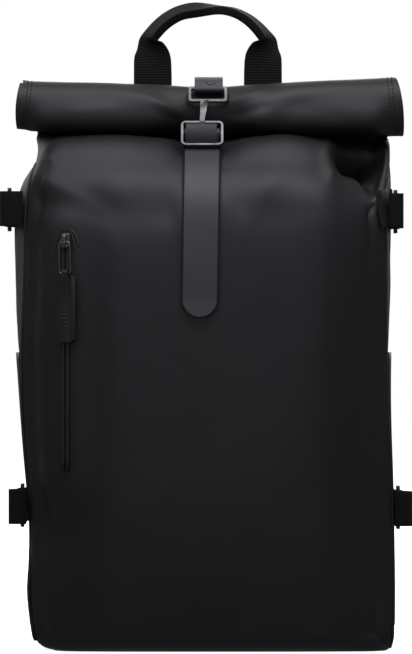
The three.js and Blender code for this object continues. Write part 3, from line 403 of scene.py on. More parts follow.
def coated_fabric():
    """Black cloth with a smooth rubbery coat: a faint grain, soft sheen and duller patches from handling."""
    made = Finish("coated_fabric", Specular_IOR_Level=0.5, Specular_Tint=SHEEN_TINT)
    looks = bpy.context.scene.bag_fabric
    place = made.place()
    patches = made.noise(place, 9, 3).smooth(0.35, 0.7)
    grain = made.noise(place, 2600, 2)
    cloth = made.noise(place, 420, 3)
    dark, light = coat_black(looks.shade * 0.9), coat_black(looks.shade * 1.12)
    made.feed("Base Color", made.mix(patches * 0.7 + grain * 0.3, dark, light))
    made.feed("Roughness", looks.roughness + patches * 0.05 + grain * 0.06)
    made.feed("Normal", made.bump(grain * 0.5 + cloth * 0.5, 0.1, 0.0001))
    return made.material


def rubberised():
    """The strap and the tab: the same coat on a stiffer band, a little lighter."""
    made = Finish("rubberised_fabric", Specular_IOR_Level=0.5, Specular_Tint=SHEEN_TINT)
    looks = bpy.context.scene.bag_fabric
    place = made.place()
    patches = made.noise(place, 30, 3).smooth(0.3, 0.7)
    grain = made.noise(place, 2200, 2)
    dark, light = coat_black(looks.strap_shade * 0.92), coat_black(looks.strap_shade * 1.08)
    made.feed("Base Color", made.mix(patches * 0.6 + grain * 0.4, dark, light))
    made.feed("Roughness", 0.46 + patches * 0.05 + grain * 0.05)
    made.feed("Normal", made.bump(grain, 0.3, 0.0001))
    return made.material


def webbing():
    """Black woven webbing: ribs across it, a fine twill over them, and fibre fuzz."""
    made = Finish("webbing", Specular_IOR_Level=0.2, Sheen_Weight=0.03, Sheen_Roughness=0.5)
    way = made.along()
    across, run = made.axis(way, "X"), made.axis(way, "Y")
    ribs = run.wave(WEBBING_RIB)
    twill = (across + run * 0.35).wave(WEBBING_TWILL)
    fuzz = made.noise(made.place(), 1800, 3)
    weave = ribs * 0.6 + twill * 0.25 + fuzz * 0.15
    made.feed("Base Color", made.mix(weave, grey(0.002), grey(0.009)))
    made.feed("Roughness", 0.62 + fuzz * 0.2)
    made.feed("Normal", made.bump(weave, 0.7, 0.0005))
    return made.material


def padding():
    """Spacer mesh on the back pad and the shoulder straps: a honeycomb of small open cells, with painted
    shade darkening their hollows.
    """
    made = Finish("padding", Specular_IOR_Level=0.3, Sheen_Weight=0.2, Sheen_Roughness=0.5)
    place = made.place()
    cells = made.node("ShaderNodeTexVoronoi", None, {"Vector": place, "Scale": 380.0}, output="Distance")
    cell_hollows_and_shade = cells.smooth(0.15, 0.5)
    fuzz = made.noise(place, 1500, 2)
    # darker inside each cell: painted shade in the hollows, which the bump shapes
    made.feed("Base Color", made.mix(cell_hollows_and_shade * 0.8 + fuzz * 0.2, grey(0.006), grey(0.024)))
    made.feed("Roughness", 0.7 + fuzz * 0.15)
    made.feed("Normal", made.bump(cell_hollows_and_shade * 0.8 + fuzz * 0.2, 0.6, 0.0006))
    return made.material


def gunmetal():
    """Satin grey metal with fine brushing and brighter worn spots."""
    made = Finish("gunmetal", Metallic=1.0)
    place = made.place()
    worn = made.noise(place, 60, 3).smooth(0.4, 0.75)
    drawn = made.node("ShaderNodeMapping", None, {"Vector": place, "Scale": (300, 300, 4000)})
    brushed = made.noise(drawn, 1.0, 2)
    made.feed("Base Color", made.mix(worn, grey(0.11), grey(0.2)))
    made.feed("Roughness", 0.3 + brushed * 0.12 - worn * 0.05)
    made.feed("Normal", made.bump(brushed, 0.15, 0.0001))
    return made.material


def plastic():
    """Black moulded plastic with a fine spark grain."""
    made = Finish("plastic", Specular_IOR_Level=0.45)
    place = made.place()
    grain = made.noise(place, 1400, 3)
    rubbed = made.noise(place, 45, 2).smooth(0.4, 0.7)
    made.feed("Base Color", made.mix(rubbed * 0.6 + grain * 0.4, grey(0.012), grey(0.024)))
    made.feed("Roughness", 0.42 + grain * 0.12 - rubbed * 0.05)
    made.feed("Normal", made.bump(grain, 0.25, 0.0002))
    return made.material


def zip_tape():
    """Dull woven zip tape."""
    made = Finish("zip_tape", Specular_IOR_Level=0.3)
    place = made.place()
    lines = made.axis(place, "Z").wave(TAPE_LINE)
    fuzz = made.noise(place, 2000, 2)
    made.feed("Base Color", made.mix(lines * 0.5 + fuzz * 0.5, grey(0.004), grey(0.014)))
    made.feed("Roughness", 0.65 + fuzz * 0.15)
    made.feed("Normal", made.bump(lines * 0.6 + fuzz * 0.4, 0.4, 0.0003))
    return made.material


def thread():
    """Grey-black polyester thread."""
    made = Finish("thread", Specular_IOR_Level=0.35)
    twist = made.noise(made.place(), 2500, 2)
    made.feed("Base Color", made.mix(twist, grey(0.001), grey(0.003)))
    made.feed("Roughness", 0.6 + twist * 0.2)
    return made.material


def floor_finish():
    """Pale matt studio floor that glows a little."""
    made = Finish("studio_floor", Emission_Color=(1, 1, 1, 1), Emission_Strength=FLOOR_GLOW)
    speck = made.noise(made.place(), 3, 2)
    made.feed("Base Color", made.mix(speck, (0.86, 0.86, 0.86, 1), (0.88, 0.88, 0.88, 1)))
    made.feed("Roughness", 0.7 + speck * 0.1)
    return made.material


FINISHES = {
    "coated_fabric": coated_fabric,
    "rubberised_fabric": rubberised,
    "webbing": webbing,
    "padding": padding,
    "gunmetal": gunmetal,
    "plastic": plastic,
    "zip_tape": zip_tape,
    "thread": thread,
    "studio_floor": floor_finish,
}


def finish(name):
    """The material of that name, made the first time that it is asked for."""
    return bpy.data.materials.get(LOOK + name) or FINISHES[name]()


# Meshes
def show(bm, name, look, smooth=True):
    """Makes an object of a bmesh, in place, with one material."""
    mesh = bpy.data.meshes.new(name)
    for face in bm.faces:
        face.smooth = smooth
    bm.to_mesh(mesh)
    bm.free()
    made = bpy.data.objects.new(name, mesh)
    bpy.context.scene.collection.objects.link(made)
    mesh.materials.append(finish(look))
    return made


def keep(piece, slot, *nodes):
    """Rides a finished piece on the bag and hides the CAD nodes that it stands for. The slot is not used."""
    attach(piece, BODY)
    if nodes:
        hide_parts(*nodes)
    return piece


def modifier(piece, kind, **settings):
    """Adds a modifier to a piece, with its settings."""
    made = piece.modifiers.new(kind.title(), kind)
    for name, value in settings.items():
        setattr(made, name, value)
    return made


def subdivide(piece, levels):
    """Smooths a piece and keeps the corners of its open edges."""
    return modifier(piece, "SUBSURF", levels=levels, render_levels=levels, boundary_smooth="PRESERVE_CORNERS")


def applied(piece):
    """Applies a piece's modifiers to its mesh."""
    scene = bpy.context.evaluated_depsgraph_get()
    mesh = bpy.data.meshes.new_from_object(piece.evaluated_get(scene))
    piece.modifiers.clear()
    old = piece.data
    piece.data = mesh
    bpy.data.meshes.remove(old)
    return piece


def merged_copy(node, quads=True):
    """A bmesh of a copy of a CAD node, its triangles joined at their corners and paired into quads."""
    bm = bmesh.new()
    bm.from_mesh(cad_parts[node].data)
    bmesh.ops.remove_doubles(bm, verts=bm.verts, dist=0.01 * MM)
    if quads:
        bmesh.ops.join_triangles(bm, faces=bm.faces, angle_face_threshold=1.0, angle_shape_threshold=3.1)
    bm.normal_update()
    return bm


def islands(bm):
    """The bmesh's faces, by connected island."""
    left = set(bm.faces)
    found = []
    while left:
        queue = [left.pop()]
        island = list(queue)
        while queue:
            for edge in queue.pop().edges:
                for face in edge.link_faces:
                    if face in left:
                        left.remove(face)
                        queue.append(face)
                        island.append(face)
        found.append(island)
    return found


def outer_skin(node, outward):
    """The outer face of a fabric wall, without its rims and inner face. outward is square to its middle."""
    bm = merged_copy(node)
    rims = [f for f in bm.faces if min(e.calc_length() for e in f.edges) < RIM_FACE]
    bmesh.ops.delete(bm, geom=rims, context="FACES")
    low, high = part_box(node)
    middle = (low.z + high.z) / 2
    span = (high.z - low.z) / 4

    def faces_out(island):
        near = [f for f in island if abs(f.calc_center_median().z - middle) <= span + FABRIC_THICK]
        return sum(f.normal.dot(outward) * f.calc_area() for f in near)

    best = set(max(islands(bm), key=faces_out))
    bmesh.ops.delete(bm, geom=[f for f in bm.faces if f not in best], context="FACES")
    return bm


def solid_cloth(piece):
    """Gives a fabric skin its thickness, inwards."""
    return modifier(piece, "SOLIDIFY", thickness=FABRIC_THICK, offset=-1)


def surface_of(piece):
    """A search tree over a piece as it shows."""
    return BVHTree.FromObject(piece, bpy.context.evaluated_depsgraph_get())


def seen_at(tree, x, z):
    """The place and direction of a surface where a level ray from the front meets it."""
    place, normal, _, _ = tree.ray_cast(Vector((x, RAY_START, z)), Vector((0, 1, 0)))
    return place, normal


def front_depth(tree, at):
    """How far forward a surface stands at a place in the picture's plane."""
    place, _ = seen_at(tree, at.x, at.z)
    return place.y if place else 0.0


# Straps
def rings_of(node):
    """The cross-sections of a strap's solid from end to end, each as four corners in the same order."""
    bm = merged_copy(node, quads=False)
    beside = {v: {e.other_vert(v) for e in v.link_edges} for v in bm.verts}

    def walk(start):
        levels, seen = [start], set(start)
        while True:
            after = {n for v in levels[-1] for n in beside[v]} - seen
            if not after:
                return levels if len(seen) == len(bm.verts) else None
            if len(after) != 4:
                return None
            levels.append(after)
            seen |= after

    for edge in bm.edges:
        start = {v for f in edge.link_faces for v in f.verts}
        levels = walk(start) if len(start) == 4 else None
        if levels:
            break
    if not levels:
        raise RuntimeError(f"{node} isn't a plain strap")
    first = cycle(levels[0])
    rings = [first]
    for level in levels[1:]:
        points = [v.co.copy() for v in level]
        rings.append(min(itertools.permutations(points), key=lambda p: spread(p, rings[-1])))
    bm.free()
    return rings


def cycle(corners):
    """A cap's four corners in order round it: from the one furthest back, along a long side first."""
    points = [v.co.copy() for v in corners]
    first = max(points, key=lambda p: (p.y, -p.x, p.z))
    thin, wide, far = sorted((p for p in points if p is not first), key=lambda p: (p - first).length)
    return [first, wide, far, thin]


def spread(points, others):
    """How far apart two lists of points are, pair by pair."""
    return sum((a - b).length for a, b in zip(points, others))


def between(a, b, c, d, t):
    """A smooth curve from b to c through four points."""
    slope = (c - a) * t
    bend = (2 * a - 5 * b + 4 * c - d) * t * t
    twist = (3 * b - a - 3 * c + d) * t ** 3
    return 0.5 * (2 * b + slope + bend + twist)


def finer(rings, steps):
    """Rings on a smooth curve through the given ones, steps for each stretch."""
    made = []
    for i in range(len(rings) - 1):
        four = [rings[min(max(k, 0), len(rings) - 1)] for k in range(i - 1, i + 3)]
        made += [tuple(between(*corner, s / steps) for corner in zip(*four)) for s in range(steps)]
    return made + [tuple(rings[-1])]


def map_strap(bm, maps, place, rings, columns):
    """Fills in a strap's own map, across and along it, in metres."""
    run = [0.0]
    for a, b in zip(rings, rings[1:]):
        run.append(run[-1] + (sum(b, Vector()) - sum(a, Vector())).length / 4)
    wide = (rings[0][1] - rings[0][0]).length
    thick = (rings[0][3] - rings[0][0]).length
    perimeter = 2 * (wide + thick)
    for face in bm.faces:
        for loop in face.loops:
            i, j = place[loop.vert]
            loop[maps].uv = (i / columns * perimeter, run[j])


def on_ring(ring, corner, share, plump):
    """A place on a ring, between a corner and the next one. The ring's wide sides swell by plump."""
    a, b = ring[corner], ring[(corner + 1) % 4]
    at = a.lerp(b, share)
    if corner % 2 == 0 and share > 0:
        up = (a - ring[corner - 1]).normalized()
        at += up * (plump * math.sin(math.pi * share))
    return at


def strap(name, rings, look, side_points=2, across_points=8, plump=0.0):
    """A closed strap through rings of four corners, with its own map across and along it."""
    section = []
    for corner in range(4):
        points = across_points if corner % 2 == 0 else side_points
        section += [(corner, k / points) for k in range(points)]
    columns, rows = len(section), len(rings) - 1
    bm = bmesh.new()
    bmesh.ops.create_grid(bm, x_segments=columns, y_segments=rows, size=1, calc_uvs=True)
    maps = bm.loops.layers.uv.verify()
    place = {v: (round((v.co.x + 1) / 2 * columns), round((v.co.y + 1) / 2 * rows)) for v in bm.verts}
    map_strap(bm, maps, place, rings, columns)
    for v, (i, j) in place.items():
        corner, share = section[i % columns]
        v.co = on_ring(rings[j], corner, share, plump)
    bmesh.ops.remove_doubles(bm, verts=bm.verts, dist=0.001 * MM)
    ends = [e for e in bm.edges if e.is_boundary]
    bmesh.ops.holes_fill(bm, edges=ends, sides=0)
    bmesh.ops.recalc_face_normals(bm, faces=bm.faces)
    made = show(bm, name, look)
    made.data.uv_layers[0].name = STRAP_MAP
    return made


def softened(piece, width, segments=2):
    """Rounds a piece's sharp edges."""
    return modifier(
        piece, "BEVEL", width=width, segments=segments, limit_method="ANGLE", angle_limit=SOFT_ANGLE
    )


# Sizes and colours that a user would change
class BagFabric(bpy.types.PropertyGroup):
    shade: bpy.props.FloatProperty(
        name="Fabric shade", description="Grey level of the coated fabric", default=0.008, min=0, max=1
    )
    strap_shade: bpy.props.FloatProperty(
        name="Strap shade", description="Grey level of the closure strap and tab", default=0.045, min=0, max=1
    )
    roughness: bpy.props.FloatProperty(
        name="Fabric roughness", description="How dull the coat is", default=0.47, min=0, max=1
    )


class BagStage(bpy.types.PropertyGroup):
    distance: bpy.props.FloatProperty(
        name="Camera distance", description="From the bag's middle", default=6.0, unit="LENGTH"
    )
    top_light: bpy.props.FloatProperty(
        name="Top light", description="Power of the softbox above the front", default=12, unit="POWER"
    )
    front_light: bpy.props.FloatProperty(
        name="Front light", description="Power of the softbox round the camera", default=20, unit="POWER"
    )
    side_light: bpy.props.FloatProperty(
        name="Side lights", description="Power of each softbox at the back corners", default=10, unit="POWER"
    )
    back_light: bpy.props.FloatProperty(
        name="Back light", description="Power of the softbox behind the bag", default=26, unit="POWER"
    )
    floor_light: bpy.props.FloatProperty(
        name="Floor light", description="Power of the ceiling panel behind the bag", default=160, unit="POWER"
    )
    room: bpy.props.FloatProperty(name="Room light", description="Strength of the surroundings", default=0.16)


def surroundings(room):
    """A white studio that lights the bag only a little: its lamps do the rest."""
    world = bpy.data.worlds.new("surroundings")
    world.use_nodes = True
    tree = world.node_tree
    background = tree.nodes["Background"]
    background.inputs["Color"].default_value = (1, 1, 1, 1)
    ray = tree.nodes.new("ShaderNodeLightPath")
    level = tree.nodes.new("ShaderNodeMapRange")
    level.inputs["To Min"].default_value = room
    level.inputs["To Max"].default_value = 1.0
    tree.links.new(ray.outputs["Is Camera Ray"], level.inputs["Value"])
    tree.links.new(level.outputs["Result"], background.inputs["Strength"])
    return world


def softbox(name, at, target, size, power):
    """A lamp with a lit rectangle, turned to its target."""
    lamp = bpy.data.lights.new(name, "AREA")
    lamp.shape = "RECTANGLE"
    lamp.size, lamp.size_y = size
    lamp.energy = power
    made = bpy.data.objects.new(name, lamp)
    made.location = at
    made.rotation_euler = (Vector(target) - Vector(at)).to_track_quat("-Z", "Y").to_euler()
    bpy.context.scene.collection.objects.link(made)


def camera_at(distance):
    """The picture's level camera, with a lens that shows as much as the picture does."""
    lens = bpy.data.cameras.new("camera")
    lens.sensor_width = SENSOR_WIDE
    lens.lens = lens.sensor_width * distance / PICTURE_HIGH
    camera = bpy.data.objects.new("camera", lens)
    camera.location = PICTURE_CENTRE + Vector((0, -distance, 0))
    camera.rotation_euler = (math.pi / 2, 0, 0)
    bpy.context.scene.collection.objects.link(camera)
    return camera


class BAG_OT_stage(bpy.types.Operator):
    """Floor, lights and the camera of the picture"""

    bl_idname = "bag.stage"
    bl_label = "Stage"

    def execute(self, context):
        looks = context.scene.bag_stage
        bm = bmesh.new()
        bmesh.ops.create_grid(bm, x_segments=1, y_segments=1, size=FLOOR_REACH)
        floor = show(bm, "floor", "studio_floor", smooth=False)
        floor.visible_diffuse = False
        floor.visible_glossy = False
        context.scene.view_settings.view_transform = "Standard"
        context.scene.world = surroundings(looks.room)
        for name, at, target, size, power in SOFTBOXES:
            softbox(name, at, target, size, getattr(looks, power))
        context.scene.camera = camera_at(looks.distance)
        return {"FINISHED"}


# Shapes of cloth
def soft(value):
    """1 at 0, falling off smoothly to both sides."""
    return math.exp(-value * value)


def shaped_by(point, swells, creases):
    """How far out the cloth stands at a point of the picture's plane, in metres."""
    x, z = point.x / MM, point.z / MM
    out = 0.0
    for at_x, at_z, wide, tall, turn, far in swells:
        angle = math.radians(turn)
        across, up = x - at_x, z - at_z
        along = across * math.cos(angle) + up * math.sin(angle)
        over = up * math.cos(angle) - across * math.sin(angle)
        out += far * soft(along / wide) * soft(over / tall)
    for from_x, from_z, to_x, to_z, wide, far in creases:
        way = Vector((to_x - from_x, to_z - from_z))
        off = Vector((x - from_x, z - from_z))
        share = off.dot(way) / way.length_squared
        beside = (off - way * min(max(share, 0), 1)).length
        fade = math.sin(math.pi * share) ** CREASE_END if 0 < share < 1 else 0.0
        out += far * fade * math.exp(-((beside / wide) ** CREASE_SIDE))
    return out * MM


def wrinkled(point, height, size):
    """The small unevenness of soft cloth."""
    fine = FINE_HEIGHT * height * noise.noise(point / (size * FINE_SIZE))
    return height * noise.noise(point / size) + fine


def smooth_step(value, low, high):
    """0 below low, 1 above high, and a soft step between them."""
    share = min(max((value - low) / (high - low), 0), 1)
    return share * share * (3 - 2 * share)


def rim_of(mesh):
    """A search tree over the vertices on a mesh's open edges."""
    bm = bmesh.new()
    bm.from_mesh(mesh)
    rim = [v.co.copy() for v in bm.verts if v.is_boundary]
    bm.free()
    tree = KDTree(len(rim))
    for i, at in enumerate(rim):
        tree.insert(at, i)
    tree.balance()
    return tree


def cloth_panel(node, name, outward, shape=None):
    """One fabric wall: the CAD wall's outer face, made smooth, shaped, and given its thickness."""
    panel = show(outer_skin(node, Vector(outward)), name, "coated_fabric")
    subdivide(panel, CLOTH_LEVELS)
    applied(panel)
    if shape:
        rim = rim_of(panel.data)
        normals = [v.normal.copy() for v in panel.data.vertices]
        for v, normal in zip(panel.data.vertices, normals):
            held = smooth_step(rim.find(v.co)[2], 0, RIM_HELD)
            v.co += normal * shape(v.co, normal) * held
    for face in panel.data.polygons:
        face.use_smooth = True
    solid_cloth(panel)
    return keep(panel, "coated_fabric", node)


def front_shape(point, normal):
    """The front's swells, creases and turned sides, left out under the strap, the zip and the roll."""
    below_neck = 1 - smooth_step(point.z, NECK_LOW, NECK_HIGH)
    facing = smooth_step(-normal.y, *FRONT_FACING)
    out = shaped_by(point, FRONT_SWELLS, FRONT_CREASES) + wrinkled(point, *WRINKLES)
    near, further, low, high = TURNS[-1 if point.x < 0 else 1]
    beyond = abs(point.x) - near - further * smooth_step(point.z, low, high)
    out -= TURN_DEEP * smooth_step(beyond, 0, TURN_WIDE)
    if STRAP_FOOT < point.z < STRAP_FREE or (out > 0 and point.z > STRAP_FOOT):
        out *= smooth_step(abs(point.x), *STRAP_BED)
    return below_neck * facing * out * smooth_step(from_zip(point), *ZIP_BED)


def from_zip(point):
    """How far a place is from the line of the front zip, in the picture's plane."""
    low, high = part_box("front_zip")
    across = point.x - (low.x + high.x) / 2
    past_end = max(low.z - point.z, point.z - high.z, 0)
    return math.hypot(across, past_end)


def roll_reach(side):
    """How far out the roll goes on one side."""
    low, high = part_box("back_sheet")
    return -low.x if side < 0 else high.x


def roll_shape(point, normal):
    """The pinch, the folds and the full lower front of the roll. The back wall below it is only uneven."""
    if point.z < NECK_LOW:
        return wrinkled(point, *WRINKLES)
    facing = smooth_step(-normal.y, *ROLL_FACING)
    free = smooth_step(abs(point.x), *ROLL_PINCH)
    chin = ROLL_CHIN * free * soft((point.z - ROLL_CHIN_HEIGHT) / ROLL_CHIN_TALL)
    return facing * (chin + shaped_by(point, ROLL_SWELLS, ROLL_CREASES) + wrinkled(point, *WRINKLES))


def side_shape(point, normal):
    """The sides are only uneven."""
    return wrinkled(point, *SIDE_WRINKLES)


class BAG_OT_front(bpy.types.Operator):
    """Front wall, with its shoulders, dents and creases"""

    bl_idname = "bag.front"
    bl_label = "Front"

    def execute(self, context):
        cloth_panel("front_sheet", "front_panel", (0, -1, 0), front_shape)
        return {"FINISHED"}


class BAG_OT_roll(bpy.types.Operator):
    """Back wall, which goes on up into the roll"""

    bl_idname = "bag.roll"
    bl_label = "Back and roll"

    def execute(self, context):
        cloth_panel("back_sheet", "back_panel", (0, 1, 0), roll_shape)
        return {"FINISHED"}


class BAG_OT_sides(bpy.types.Operator):
    """Side walls, side pockets and the base"""

    bl_idname = "bag.sides"
    bl_label = "Sides and base"

    def execute(self, context):
        for side, name in ((-1, "left"), (1, "right")):
            cloth_panel(f"gusset_{name}", f"side_panel_{name}", (side, 0, 0), side_shape)
            cloth_panel(f"side_pocket_{name}", f"pocket_{name}", (side, 0, 0))
        base = show(merged_copy("base_panel", quads=False), "base", "coated_fabric", smooth=False)
        keep(base, "coated_fabric", "base_panel")
        return {"FINISHED"}


def stitched(bm, path):
    """Adds a thread for each step along a path of places and outward directions."""
    ahead = 0.0
    for (a, out), (b, _) in zip(path, path[1:]):
        way = b - a
        while ahead < way.length:
            at = a + way.normalized() * ahead
            level = way.normalized()
            across = out.cross(level).normalized()
            turn = Matrix((level, across, out)).transposed().to_4x4()
            size = Matrix.Diagonal((STITCH_LONG, STITCH_THICK, STITCH_THICK, 1))
            place = Matrix.Translation(at) @ turn @ size
            bmesh.ops.create_icosphere(bm, subdivisions=1, radius=0.5, matrix=place)
            ahead += STITCH_STEP
        ahead -= way.length


def round_roll(tree, across, lean):
    """Places and outward directions on a line round the roll. across is where it lies along the roll."""
    low, high = HEM_ANGLES
    path = []
    for k in range(HEM_STEPS + 1):
        share = k / HEM_STEPS
        angle = math.radians(low + (high - low) * share)
        out = Vector((0, math.cos(angle), math.sin(angle)))
        x = across + lean * math.sin(angle)
        place, normal, _, _ = tree.ray_cast(ROLL_CENTRE + Vector((x, 0, 0)) + out * ROLL_OUTSIDE, -out)
        if place is not None:
            path.append((place + normal * STITCH_LIFT, normal))
    return path


class BAG_OT_hems(bpy.types.Operator):
    """Stitch lines on the roll's hems"""

    bl_idname = "bag.hems"
    bl_label = "Hem stitching"

    def execute(self, context):
        tree = surface_of(bpy.data.objects["back_panel"])
        for side, name in ((-1, "left"), (1, "right")):
            bm = bmesh.new()
            reach = roll_reach(side)
            for inset in HEM_INSETS:
                stitched(bm, round_roll(tree, side * (reach - inset), -side * HEM_LEAN))
            keep(show(bm, f"hem_stitching_{name}", "thread"), "webbing")
        return {"FINISHED"}


class BAG_OT_straps(bpy.types.Operator):
    """Handle, closure strap, tab and the webbing at the sides and back"""

    bl_idname = "bag.straps"
    bl_label = "Straps"

    def execute(self, context):
        for node, name, slot in STRAPS:
            rings = finer(rings_of(node), STRAP_STEPS)
            if name == "handle":
                rings = [folded(ring) for ring in rings]
            made = strap(name, rings, slot)
            softened(made, STRAP_EDGE)
            keep(made, slot, node)
            if name == "tongue":
                # the lower layer is real, but its extra width and darker cloth paint the shadow along the
                # tongue's sides
                edge = strap("tongue_edge", [shadow_line_ring(ring) for ring in rings], "coated_fabric")
                keep(edge, "coated_fabric")
        return {"FINISHED"}


def shadow_line_ring(ring):
    """A ring of the tongue's lower layer, widened so that its darker cloth shows as a painted shadow line
    along the tongue's sides.
    """
    a, b, c, d = ring
    side = (b - a).normalized() * SHADOW_LINE_WIDER
    if a.y > d.y:
        return (a - side, b + side, b.lerp(c, EDGE_SHARE) + side, a.lerp(d, EDGE_SHARE) - side)
    return (d.lerp(a, EDGE_SHARE) - side, c.lerp(b, EDGE_SHARE) + side, c + side, d - side)


def folded(ring):
    """A ring of the handle, made thicker where the webbing is folded."""
    middle = sum(ring, Vector()) / 4
    more = 1 + (GRIP_THICKER - 1) * smooth_step(middle.z, GRIP_LOW, GRIP_HIGH)
    a, b, c, d = ring
    low, high = (a + b) / 2, (c + d) / 2
    off = (high - low) * (more - 1) / 2
    return (a - off, b - off, c + off, d + off)


class BAG_OT_closure(bpy.types.Operator):
    """The strap's turn over the slider's middle bar, and a thin dark strip on the tab that paints the shade
    of its curved slit
    """

    bl_idname = "bag.closure"
    bl_label = "Closure details"

    def execute(self, context):
        turn = strap("strap_turn", finer(turn_rings(), 3), "rubberised_fabric")
        softened(turn, SMALL_EDGE)
        keep(turn, "rubberised_fabric")
        marks = slit_places()
        rings = [mark_ring(marks, k) for k in range(len(marks))]
        # the slit is not cut: a thin strip of the dark thread colour lies on the tab, painted shade of the
        # opening
        keep(strap("tab_slit", rings, "thread", 1, 2), "webbing")
        return {"FINISHED"}


def turn_rings():
    """Rings of the strap where it goes over the slider's middle bar."""
    low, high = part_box("strap_ring")
    bar = (high.z - low.z) * BAR_SHARE
    bottom, top = low.z + bar, high.z - bar
    left, right = LOOP_ACROSS
    rings = []
    for k in range(LOOP_RINGS + 1):
        share = k / LOOP_RINGS
        z = bottom + (top - bottom) * share
        front = low.y + (LOOP_SUNK - LOOP_BULGE * math.sin(math.pi * share))
        back = front + LOOP_THICK
        corners = ((left, back), (right, back), (right, front), (left, front))
        rings.append([Vector((x, y, z)) for x, y in corners])
    return rings


def slit_places():
    """Places and directions along the curved slit in the tab."""
    tree = surface_of(bpy.data.objects["roll_tab"])
    at_x, at_z = MARK_AT
    marks = []
    for k in range(MARK_STEPS + 1):
        across = (k / MARK_STEPS - 0.5) * MARK_WIDE
        rise = MARK_SAG * (2 * across / MARK_WIDE) ** 2
        place, normal = seen_at(tree, at_x + across, at_z + rise)
        if place:
            marks.append((place, normal))
    return marks


def mark_ring(marks, k):
    """A square ring of the slit at one of its places."""
    at, out = marks[k]
    run = (marks[min(k + 1, len(marks) - 1)][0] - marks[max(k - 1, 0)][0]).normalized()
    up = run.cross(out).normalized() * SLIT_THICK / 2
    lift = out * SLIT_LIFT
    return [at - lift - up, at - lift + up, at + lift + up, at + lift - up]


class BAG_OT_folded_end(bpy.types.Operator):
    """Folded end of the upper right side strap, on the front's edge"""

    bl_idname = "bag.folded_end"
    bl_label = "Folded strap end"

    def execute(self, context):
        tree = surface_of(bpy.data.objects["front_panel"])
        top_in, top_out, low_in, low_out = (Vector((x, 0, z)) * MM for x, z in FOLDED_END)
        rings = []
        for k in range(FOLDED_END_STEPS + 1):
            share = k / FOLDED_END_STEPS
            ends = [top_in.lerp(top_out, share), low_in.lerp(low_out, share)]
            depths = [front_depth(tree, ends[0].lerp(ends[1], part)) for part in (0, 0.25, 0.5, 0.75, 1)]
            back = min(depths) - FOLDED_END_CLEAR
            front = back - FOLDED_END_THICK
            corners = zip((*ends, *reversed(ends)), (back, back, front, front))
            rings.append([Vector((p.x, y, p.z)) for p, y in corners])
        made = strap("side_webbing_folded_end", finer(rings, 2), "coated_fabric")
        softened(made, FOLDED_END_EDGE)
        keep(made, "webbing")
        return {"FINISHED"}


class BAG_OT_seams(bpy.types.Operator):
    """Piped seams between the walls"""

    bl_idname = "bag.seams"
    bl_label = "Seams"

    def execute(self, context):
        for node, outward, depth in (("front_sheet", (0, -1, 0), "front"), ("back_sheet", (0, 1, 0), "back")):
            for side, name in ((-1, "left"), (1, "right")):
                path = seam_path(node, Vector(outward), side)
                rings = piping(path, Vector((side, 0.5 * outward[1], 0)).normalized())
                keep(strap(f"seam_{depth}_{name}", rings, "coated_fabric", 2, 3), "coated_fabric")
        return {"FINISHED"}


def seam_path(node, outward, side):
    """The edge of a wall on one side, from the base up to the neck."""
    bm = outer_skin(node, outward)
    edge = {v for e in bm.edges if e.is_boundary for v in e.verts}
    path = [v.co.copy() for v in edge if v.co.x * side > SEAM_ACROSS and SEAM_FOOT < v.co.z < SEAM_TOP]
    bm.free()
    path.sort(key=lambda p: (p.z, p.y))
    return [p for p in path if abs(p.y) > SEAM_OUT]


def piping(path, out, thick=PIPING):
    """Rings of a thin welt along a path."""
    rings = []
    for i, at in enumerate(path):
        run = (path[min(i + 1, len(path) - 1)] - path[max(i - 1, 0)]).normalized()
        up = (out - run * out.dot(run)).normalized()
        across = run.cross(up)
        half, middle = thick / 2, at - up * PIPING_SUNK
        corners = [(-1, -1), (1, -1), (1, 1), (-1, 1)]
        rings.append([middle + across * a * half + up * b * half for a, b in corners])
    return finer(rings, PIPING_STEPS)


class BAG_OT_zip(bpy.types.Operator):
    """The front zip, sunk between two lips of cloth"""

    bl_idname = "bag.zip"
    bl_label = "Front zip"

    def execute(self, context):
        zip_lips_and_coil()
        zip_gathers()
        pull_back_layer()
        return {"FINISHED"}


def zip_lips_and_coil():
    """The zip's coil between two lips of cloth."""
    rings = finer(rings_of("front_zip"), ZIP_STEPS)
    left_end, right_start = ZIP_LIPS
    for name, low, high in (("zip_lip_left", 0.0, left_end), ("zip_lip_right", right_start, 1.0)):
        strips = [part_of(ring, low, high) for ring in rings]
        keep(strap(name, strips, "coated_fabric", 2, 6, ZIP_LIP_SWELL), "coated_fabric")
    coil = strap("zip_coil", [part_of(ring, *ZIP_COIL, ZIP_COIL_DEEP) for ring in rings], "zip_tape", 1, 2)
    keep(coil, "zip_tape", "front_zip")


def zip_gathers():
    """Small folds of cloth gathered round the zip's top."""
    tree = surface_of(bpy.data.objects["front_panel"])
    for i, places in enumerate(GATHERS):
        line = finer([[Vector((x, 0, z)) * MM] for x, z in places], GATHER_STEPS)
        path = [Vector((at.x, front_depth(tree, at), at.z)) for (at,) in line]
        rings = piping(path, Vector((0, -1, 0)), GATHER_THICK)
        keep(strap(f"zip_gather_{i + 1}", rings, "coated_fabric", 2, 3), "coated_fabric")


def pull_back_layer():
    """The second layer of the zip's pull, which shows along its right edge."""
    low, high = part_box("zip_pull")
    inner, outer = high.x - PULL_BACK_UNDER, high.x + PULL_BACK_OUT
    rings = []
    for z in (low.z + PULL_BACK_SHORTER, (low.z + high.z) / 2, high.z - 3 * PULL_BACK_SHORTER):
        corners = ((inner, high.y), (outer, high.y), (outer, low.y), (inner, low.y))
        rings.append([Vector((x, y, z)) for x, y in corners])
    layer = strap("zip_pull_back_layer", rings, "coated_fabric", 2, 2)
    softened(layer, SMALL_EDGE)
    keep(layer, "rubberised_fabric")


def part_of(ring, low, high, deep=1.0):
    """A strip of a strap's cross-section, from share low to share high of its width."""
    a, b, c, d = ring
    lower = [a.lerp(b, low), a.lerp(b, high)]
    upper = [d.lerp(c, high), d.lerp(c, low)]
    return [*lower, lower[1].lerp(upper[0], deep), lower[0].lerp(upper[1], deep)]


